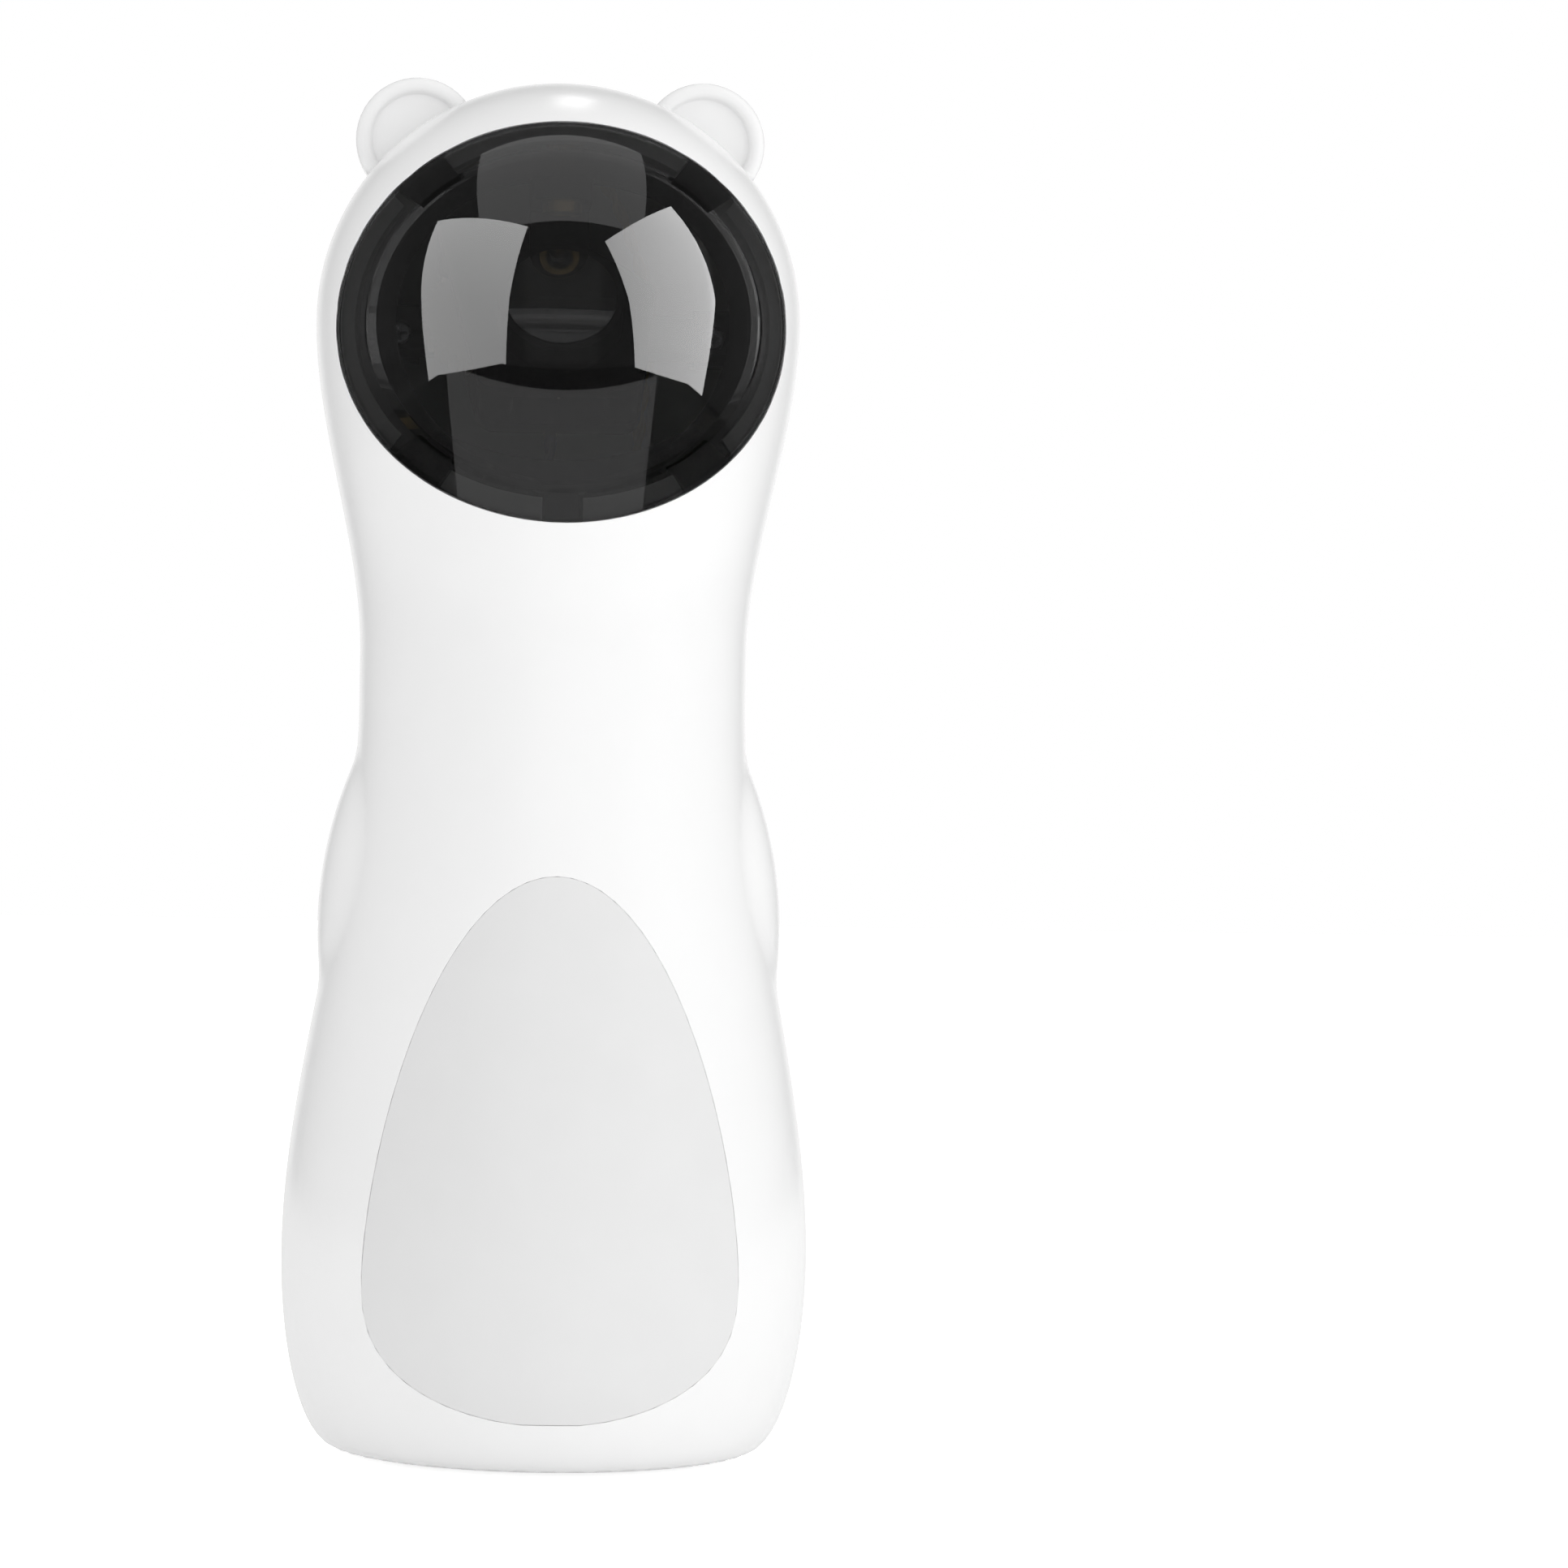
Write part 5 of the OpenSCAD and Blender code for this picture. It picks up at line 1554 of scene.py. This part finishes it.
@dataclass
class Screws:
    """Pan-head screws with a crossed slot and a rolled thread, placed as in a CAD node.

    The slot's, core's and thread's sizes are shares of the head's or of the shank's, and
    dome says how much the head narrows to its top.
    """

    node: str
    facing: Triple
    head_d: float = 4.0
    head_h: float = 1.5
    shank_d: float = 2.2
    pitch: float = 0.8
    head_sides: int = 40
    head_rows: int = 8
    dome: float = 0.4
    slot: tuple[float, float] = (1.28, 0.28)
    core: float = 0.8
    core_below: float = 0.8
    thread: tuple[float, float] = (0.84, 0.15)
    thread_sides: int = 4
    sides: int = 24
    sharp: float = 30  # degrees above which an edge stays sharp

    def tops(self) -> tuple[list[Vector], float]:
        """Finds where the CAD node has its screws.

        Returns:
            The middle of each head's top and the screws' length, in millimetres.
        """
        up = Vector(self.facing).normalized()
        side = up.orthogonal().normalized()
        axes = np.array([side, up.cross(side), up])
        found, length = [], 0.0
        for body in islands(self.node):
            low, high = (body @ axes.T).min(0), (body @ axes.T).max(0)
            middle = (low + high) / 2
            middle[2], length = high[2], float(high[2] - low[2])
            found.append(Vector(middle @ axes))
        return found, length

    def build(self, finish: Material) -> Piece:
        """Makes the screws.

        Args:
            finish: their material.

        Returns:
            The piece.
        """
        places, length = self.tops()
        sizes = {
            "Head radius": self.head_d / 2 * MM,
            "Head height": self.head_h * MM,
            "Shank radius": self.shank_d / 2 * MM,
            "Length": length * MM,
            "Pitch": self.pitch * MM,
            **{"Facing " + axis: value for axis, value in zip("XYZ", self.facing)},
        }
        tree = Tree("pan_head_screws")
        given = tree.sizes(sizes)
        whole = tree.join([self.head(tree, given), *self.shank(tree, given)])
        way = tree.combine(*(given["Facing " + axis] for axis in "XYZ"))
        turn = tree.add("FunctionNodeAlignRotationToVector", {"Vector": way}, axis="Z")
        inputs = {"Points": tree.start, "Instance": whole, "Rotation": turn.outputs["Rotation"]}
        tree.close(tree.make("InstanceOnPoints", inputs), finish)
        seed = new_mesh(self.node + "_places", [top * MM for top in places], [])
        piece = tree.grow(self.node + "_threaded", seed, sizes, self.sharp)
        return place(piece, "case", "steel", self.node)

    def head(self, tree: Tree, given: dict[str, Field]) -> Socket:
        """A pan head whose top lies at 0, with a crossed slot.

        Args:
            tree: the tree.
            given: the named sizes.

        Returns:
            The head.
        """
        radius, height = given["Head radius"], given["Head height"]
        inputs = {"Vertices": self.head_sides, "Side Segments": self.head_rows}
        disc = tree.make("MeshCylinder", {**inputs, "Radius": radius, "Depth": height})
        x, y, z = tree.parts(tree.make("InputPosition"))
        high = z / height + 0.5
        shrink = (high**4.0 * -self.dome + 1.0).apply("SQRT")
        where = tree.combine(x * shrink, y * shrink, z - height * 0.5)
        pan = tree.make("SetPosition", {"Geometry": disc, "Position": where})
        cut = tree.add("GeometryNodeMeshBoolean", {"Mesh 1": pan}, operation="DIFFERENCE")
        long, wide = (radius * share for share in self.slot)
        for size in ((long, wide), (wide, long)):
            bar = tree.make("MeshCube", {"Size": tree.combine(*size, height * 1.1)})
            tree.feed(cut, {"Mesh 2": bar})
        return cut.outputs["Mesh"]

    def shank(self, tree: Tree, given: dict[str, Field]) -> tuple[Socket, Socket]:
        """The screw below its head.

        Args:
            tree: the tree.
            given: the named sizes.

        Returns:
            The core and the thread round it.
        """
        radius, length, pitch = given["Shank radius"], given["Length"], given["Pitch"]
        run = length - given["Head height"] * self.core_below
        inputs = {"Vertices": self.sides, "Radius": radius * self.core, "Depth": run}
        rod = tree.make("MeshCylinder", inputs)
        climb = length - given["Head height"] - pitch
        path = tree.spiral(radius * self.thread[0], climb, climb / pitch, self.sides)
        ridge = tree.sweep(path, tree.ring(radius * self.thread[1], self.thread_sides))
        lowered = []
        for part, middle in ((rod, run), (ridge, pitch)):
            down = tree.combine(0.0, 0.0, middle * 0.5 - length)
            lowered.append(tree.make("Transform", {"Geometry": part, "Translation": down}))
        return tuple(lowered)


# ---- Studio ----


def see_white(wires: Wires, plain: float, seen: float, in_gloss: Socket | float) -> Socket:
    """A strength that differs for what is seen directly or through glass, and in gloss.

    Args:
        wires: the tree.
        plain: strength as a light.
        seen: strength as the camera sees it, also through glass.
        in_gloss: strength as a polished surface shows it.

    Returns:
        The strength socket.
    """
    path = wires.add("ShaderNodeLightPath")
    strength: Socket | float = plain
    ways = {"Is Glossy Ray": in_gloss, "Is Transmission Ray": seen, "Is Camera Ray": seen}
    for kind, value in ways.items():
        inputs = {"Factor": path.outputs[kind], "A": strength, "B": value}
        strength = wires.add("ShaderNodeMix", inputs).outputs["Result"]
    return strength


@dataclass
class Lamp:
    """A soft rectangular lamp that points at the toy."""

    name: str
    place: Triple
    size: tuple[float, float]
    radiance: float
    in_gloss: bool = False
    aim: Triple = (0.0, 0.0, 0.13)

    def build(self) -> None:
        """Makes the lamp."""
        data = bpy.data.lights.new(self.name, "AREA")
        data.shape = "RECTANGLE"
        data.size, data.size_y = self.size
        data.energy = self.radiance * math.pi * self.size[0] * self.size[1]
        lamp = show(self.name, data)
        lamp.location = self.place
        towards = Vector(self.aim) - Vector(self.place)
        lamp.rotation_euler = towards.to_track_quat("-Z", "Y").to_euler()
        lamp.visible_camera = False
        lamp.visible_glossy = self.in_gloss
        lamp.visible_diffuse = not self.in_gloss


@dataclass
class Card:
    """A bright studio panel that shows only in the gloss of chosen pieces.

    Corners are directions from the middle of the head, as azimuth and elevation in degrees,
    with azimuth 0 towards the front and growing to the viewer's right. A panel on the
    floor has its corners where those directions meet it. Its strength is one for the
    whole panel, or one for each corner, with an even change in between.
    """

    name: str
    corners: tuple[tuple[float, float], ...]
    radiance: float | tuple[float, ...]
    distance: float = 1.1
    floor_z: float | None = None
    shows_in: str = "visor"
    middle: Triple = (0.0, -0.02, 0.182)

    def corner(self, azimuth: float, elevation: float) -> Vector:
        """Finds a corner.

        Args:
            azimuth: the direction's angle round the toy, in degrees.
            elevation: its angle above the level, in degrees.

        Returns:
            The corner's place.
        """
        a, e = math.radians(azimuth), math.radians(elevation)
        towards = Vector((math.sin(a) * math.cos(e), -math.cos(a) * math.cos(e), math.sin(e)))
        reach = self.distance
        if self.floor_z is not None:
            reach = (self.floor_z - self.middle[2]) / towards.z
        return Vector(self.middle) + towards * reach

    def build(self) -> Piece:
        """Makes the panel.

        Returns:
            The panel's object.
        """
        points = [self.corner(*way) for way in self.corners]
        data = new_mesh(self.name, points, [], [range(len(points))])
        strengths = data.attributes.new("strength", "FLOAT", "POINT")
        values = np.broadcast_to(self.radiance, len(points)).astype(float)
        strengths.data.foreach_set("value", values)
        material = new_material(self.name)
        wires = Wires(material.node_tree)
        wires.nodes.remove(wires.nodes["Principled BSDF"])
        strength = wires.add("ShaderNodeAttribute", attribute_name="strength").outputs["Fac"]
        light = wires.add("ShaderNodeEmission", {"Strength": strength})
        wires.feed(wires.nodes["Material Output"], {"Surface": light.outputs[0]})
        data.materials.append(material)
        card = show(self.name, data)
        for kind in ("camera", "diffuse", "transmission", "shadow"):
            setattr(card, "visible_" + kind, False)
        return card


LAMPS = (
    Lamp("key", (0.86, -0.5, 0.42), (0.7, 0.7), 1.45),
    Lamp("front", (0.0, -1.2, 0.35), (0.8, 0.8), 0.65),
    Lamp("crown_gleam", (0.07, 0.69, 1.13), (0.13, 0.27), 2.6, in_gloss=True, aim=(0, -0.015, 0.219)),
)
CARDS = (
    Card("left_card", ((-75, 38), (-20, 41), (-27, -12), (-67, -11)), (7.2, 7.6, 5.2, 5.6)),
    Card(
        "right_card", ((22, 34), (72, 46), (77, 8), (73, -12), (36, -12)), (7.2, 10.8, 13.2, 9.8, 7.6)
    ),
    Card("top_card", ((-103, 65), (-44, 35), (43, 36), (104, 65)), 1.2, distance=1.3),
    Card(
        "floor_card", ((-57, -8.3), (47, -10.3), (52, -75), (-62, -75)), 0.75,
        floor_z=0.001, shows_in="both",
    ),
    Card(
        "floor_sheen", ((-45, -8), (45, -8), (135, -8), (-135, -8)), 0.85,
        floor_z=0.0004, shows_in="case",
    ),
)


@dataclass
class Studio:
    """Camera, lamps, floor and surroundings."""

    distance: float = 0.8
    height: float = 0.109
    swing: float = math.radians(2.0)
    roll: float = math.radians(0.9)
    lens: float = 112.0
    shift: float = 0.1486
    ambient: float = 0.95
    front_gloss: float = 0.09
    back_gloss: float = 1.0
    gloss_edges: tuple[float, float] = (0.85, 0.97)
    floor_x: tuple[float, float] = (-1.1, 0.9)
    floor_y: tuple[float, float] = (-0.68, 3.0)
    floor_tone: float = 0.8
    floor_roughness: float = 0.7
    floor_glow: float = 0.14
    floor_seen: float = 0.75

    def build(self) -> None:
        """Makes everything that isn't part of the toy."""
        self.camera()
        self.world()
        self.floor()
        for lamp in LAMPS:
            lamp.build()

    def reflect(self, visor: Piece, case: list[Piece]) -> None:
        """Puts up the bright panels that show in the gloss of the toy.

        Args:
            visor: the polished visor.
            case: the moulded pieces round it.
        """
        groups = {"visor": [visor], "case": case, "both": [visor, *case]}
        collections = {}
        for name, pieces in groups.items():
            collections[name] = bpy.data.collections.new("gloss_" + name)
            for piece in pieces:
                collections[name].objects.link(piece)
        for card in CARDS:
            card.build().light_linking.receiver_collection = collections[card.shows_in]

    def camera(self) -> None:
        """Makes the camera at the photograph's viewing angle."""
        data = bpy.data.cameras.new("camera")
        data.lens, data.sensor_width, data.shift_x = self.lens, 36, self.shift
        camera = show("camera", data)
        across, back = math.sin(self.swing), math.cos(self.swing)
        camera.location = (-self.distance * across, -self.distance * back, self.height)
        level = Euler((math.pi / 2, 0, -self.swing)).to_matrix()
        tilt = Euler((0, 0, self.roll)).to_matrix()
        camera.rotation_euler = (level @ tilt).to_euler()
        bpy.context.scene.camera = camera

    def world(self) -> None:
        """Soft surroundings that look white to the camera, to gloss and through glass."""
        world = bpy.data.worlds.new("surroundings")
        bpy.context.scene.world = world
        world.use_nodes = True
        wires = Wires(world.node_tree)
        facing = wires.add("ShaderNodeTexCoord").outputs["Generated"]
        way = wires.add("ShaderNodeSeparateXYZ", {0: facing}).outputs["Y"]
        names = ("From Min", "From Max", "To Min", "To Max")
        ends = dict(zip(names, (*self.gloss_edges, self.front_gloss, self.back_gloss)))
        gloss = wires.add("ShaderNodeMapRange", {"Value": way, **ends}, interpolation_type="SMOOTHSTEP")
        strength = see_white(wires, self.ambient, 1.0, gloss.outputs["Result"])
        wires.feed(wires.nodes["Background"], {"Color": (1, 1, 1, 1), "Strength": strength})

    def floor(self) -> None:
        """A plain white floor that keeps the toy's shadow."""
        (left, right), (front, back) = self.floor_x, self.floor_y
        corners = [(left, front, 0), (right, front, 0), (right, back, 0), (left, back, 0)]
        floor = show("floor", new_mesh("floor", corners, [], [range(4)]))
        material = new_material("floor_white")
        wires = Wires(material.node_tree)
        inputs = {
            "Base Color": (*(self.floor_tone,) * 3, 1),
            "Roughness": self.floor_roughness,
            "Specular IOR Level": 0.0,
            "Emission Color": (1, 1, 1, 1),
            "Emission Strength": see_white(wires, self.floor_glow, self.floor_seen, 0.0),
        }
        wires.feed(wires.nodes["Principled BSDF"], inputs)
        floor.data.materials.append(material)
        floor.visible_glossy = False


# ---- The whole toy ----


LEADS = (
    Lead(
        "battery_lead", "lead_red",
        [
            (7.6, 0, 61.6), (7.6, 0, 70), (6, 3, 77), (-2, 14, 83),
            (-8, 22, 84), (-8, 26.85, 76), (-8, 26.85, 64),
        ],
    ),
    Lead(
        "motor_lead", "lead_blue",
        [
            (0, 27.44, 176.86), (0, 29.9, 175.14), (0, 30, 166), (0, 26, 148),
            (0, 24, 125), (0, 25, 95), (0, 26.85, 75), (0, 26.85, 64),
        ],
    ),
    Lead(
        "laser_lead", "lead_yellow",
        [
            (0, -12, 213), (0, -12, 215), (1, -5, 217), (4, 6, 214), (11, 18, 205), (16, 25, 190),
            (15, 26, 168), (13, 24, 145), (12, 22, 122), (11, 24, 95), (8, 26.85, 75), (8, 26.85, 64),
        ],
    ),
)
TILT = math.radians(55)
SCREWS = (
    Screws("case_screws", (0, 1, 0), head_d=5.4, head_h=2.0, shank_d=2.9, pitch=1.2),
    Screws("mask_screws", (0, 1, 0)),
    Screws("board_screws", (0, -1, 0)),
    Screws("frame_screws", (0, -1, 0)),
    Screws("holder_screws", (0, 0, 1)),
    Screws("gearbox_screws", (0, math.sin(TILT), -math.cos(TILT))),
)


def dress_nodes(materials: dict[str, Material]) -> None:
    """Gives every CAD node that is still shown the finish of its slot.

    Args:
        materials: a material for each slot.
    """
    for part in frame["record"]["subparts"]:
        node = frame["nodes"][part["node"]]
        node.data.materials.clear()
        node.data.materials.append(materials[part["material_slot"]])


def build_covers(materials: dict[str, Material]) -> tuple[Piece, Piece]:
    """Makes the visor and the belly panel.

    Args:
        materials: a material for each slot.

    Returns:
        The two pieces.
    """
    form = CaseForm()
    dome = Cover(
        "visor_dome", "visor", "smoked_visor", CoverShape.OVAL, form,
        half_width=36.25, top_z=214.35, low_z=150.05, middle_z=182.2, centre_z=182.2,
        thick=1.85, skirt=(4.0, 1.6, 5.7), lugs={49: 7.5, 131: 7.5, 229: 7.5, 311: 7.5, 270: 4.5},
    )
    belly = Cover(
        "belly_cover", "belly_panel", "panel_grey", CoverShape.POINTED, form,
        half_width=29.8, top_z=94.5, low_z=9.0, middle_z=31.0, centre_z=48.0,
        parting=0.05, round_off=0.12,
    )
    return dome.build(materials[dome.slot]), belly.build(materials[belly.slot])


def main() -> None:
    """Builds the toy's looks and the studio."""
    logging.basicConfig(level=logging.INFO, format="%(message)s")
    bpy.context.scene.view_settings.view_transform = "Standard"
    studio = Studio()
    studio.build()
    materials = {finish.name: finish.material() for finish in FINISHES}
    dress_nodes(materials)
    case = []
    for node, facing in (("front_shell", 1), ("rear_shell", -1)):
        case.append(Shell(node, facing, CaseForm()).build(materials["case_white"]))
    dome, belly = build_covers(materials)
    for lead in LEADS:
        lead.build(materials[lead.slot])
    for hardware in (Springs(), *SCREWS):
        hardware.build(materials["steel"])
    studio.reflect(dome, [*case, belly])


if __name__ == "__main__":
    main()
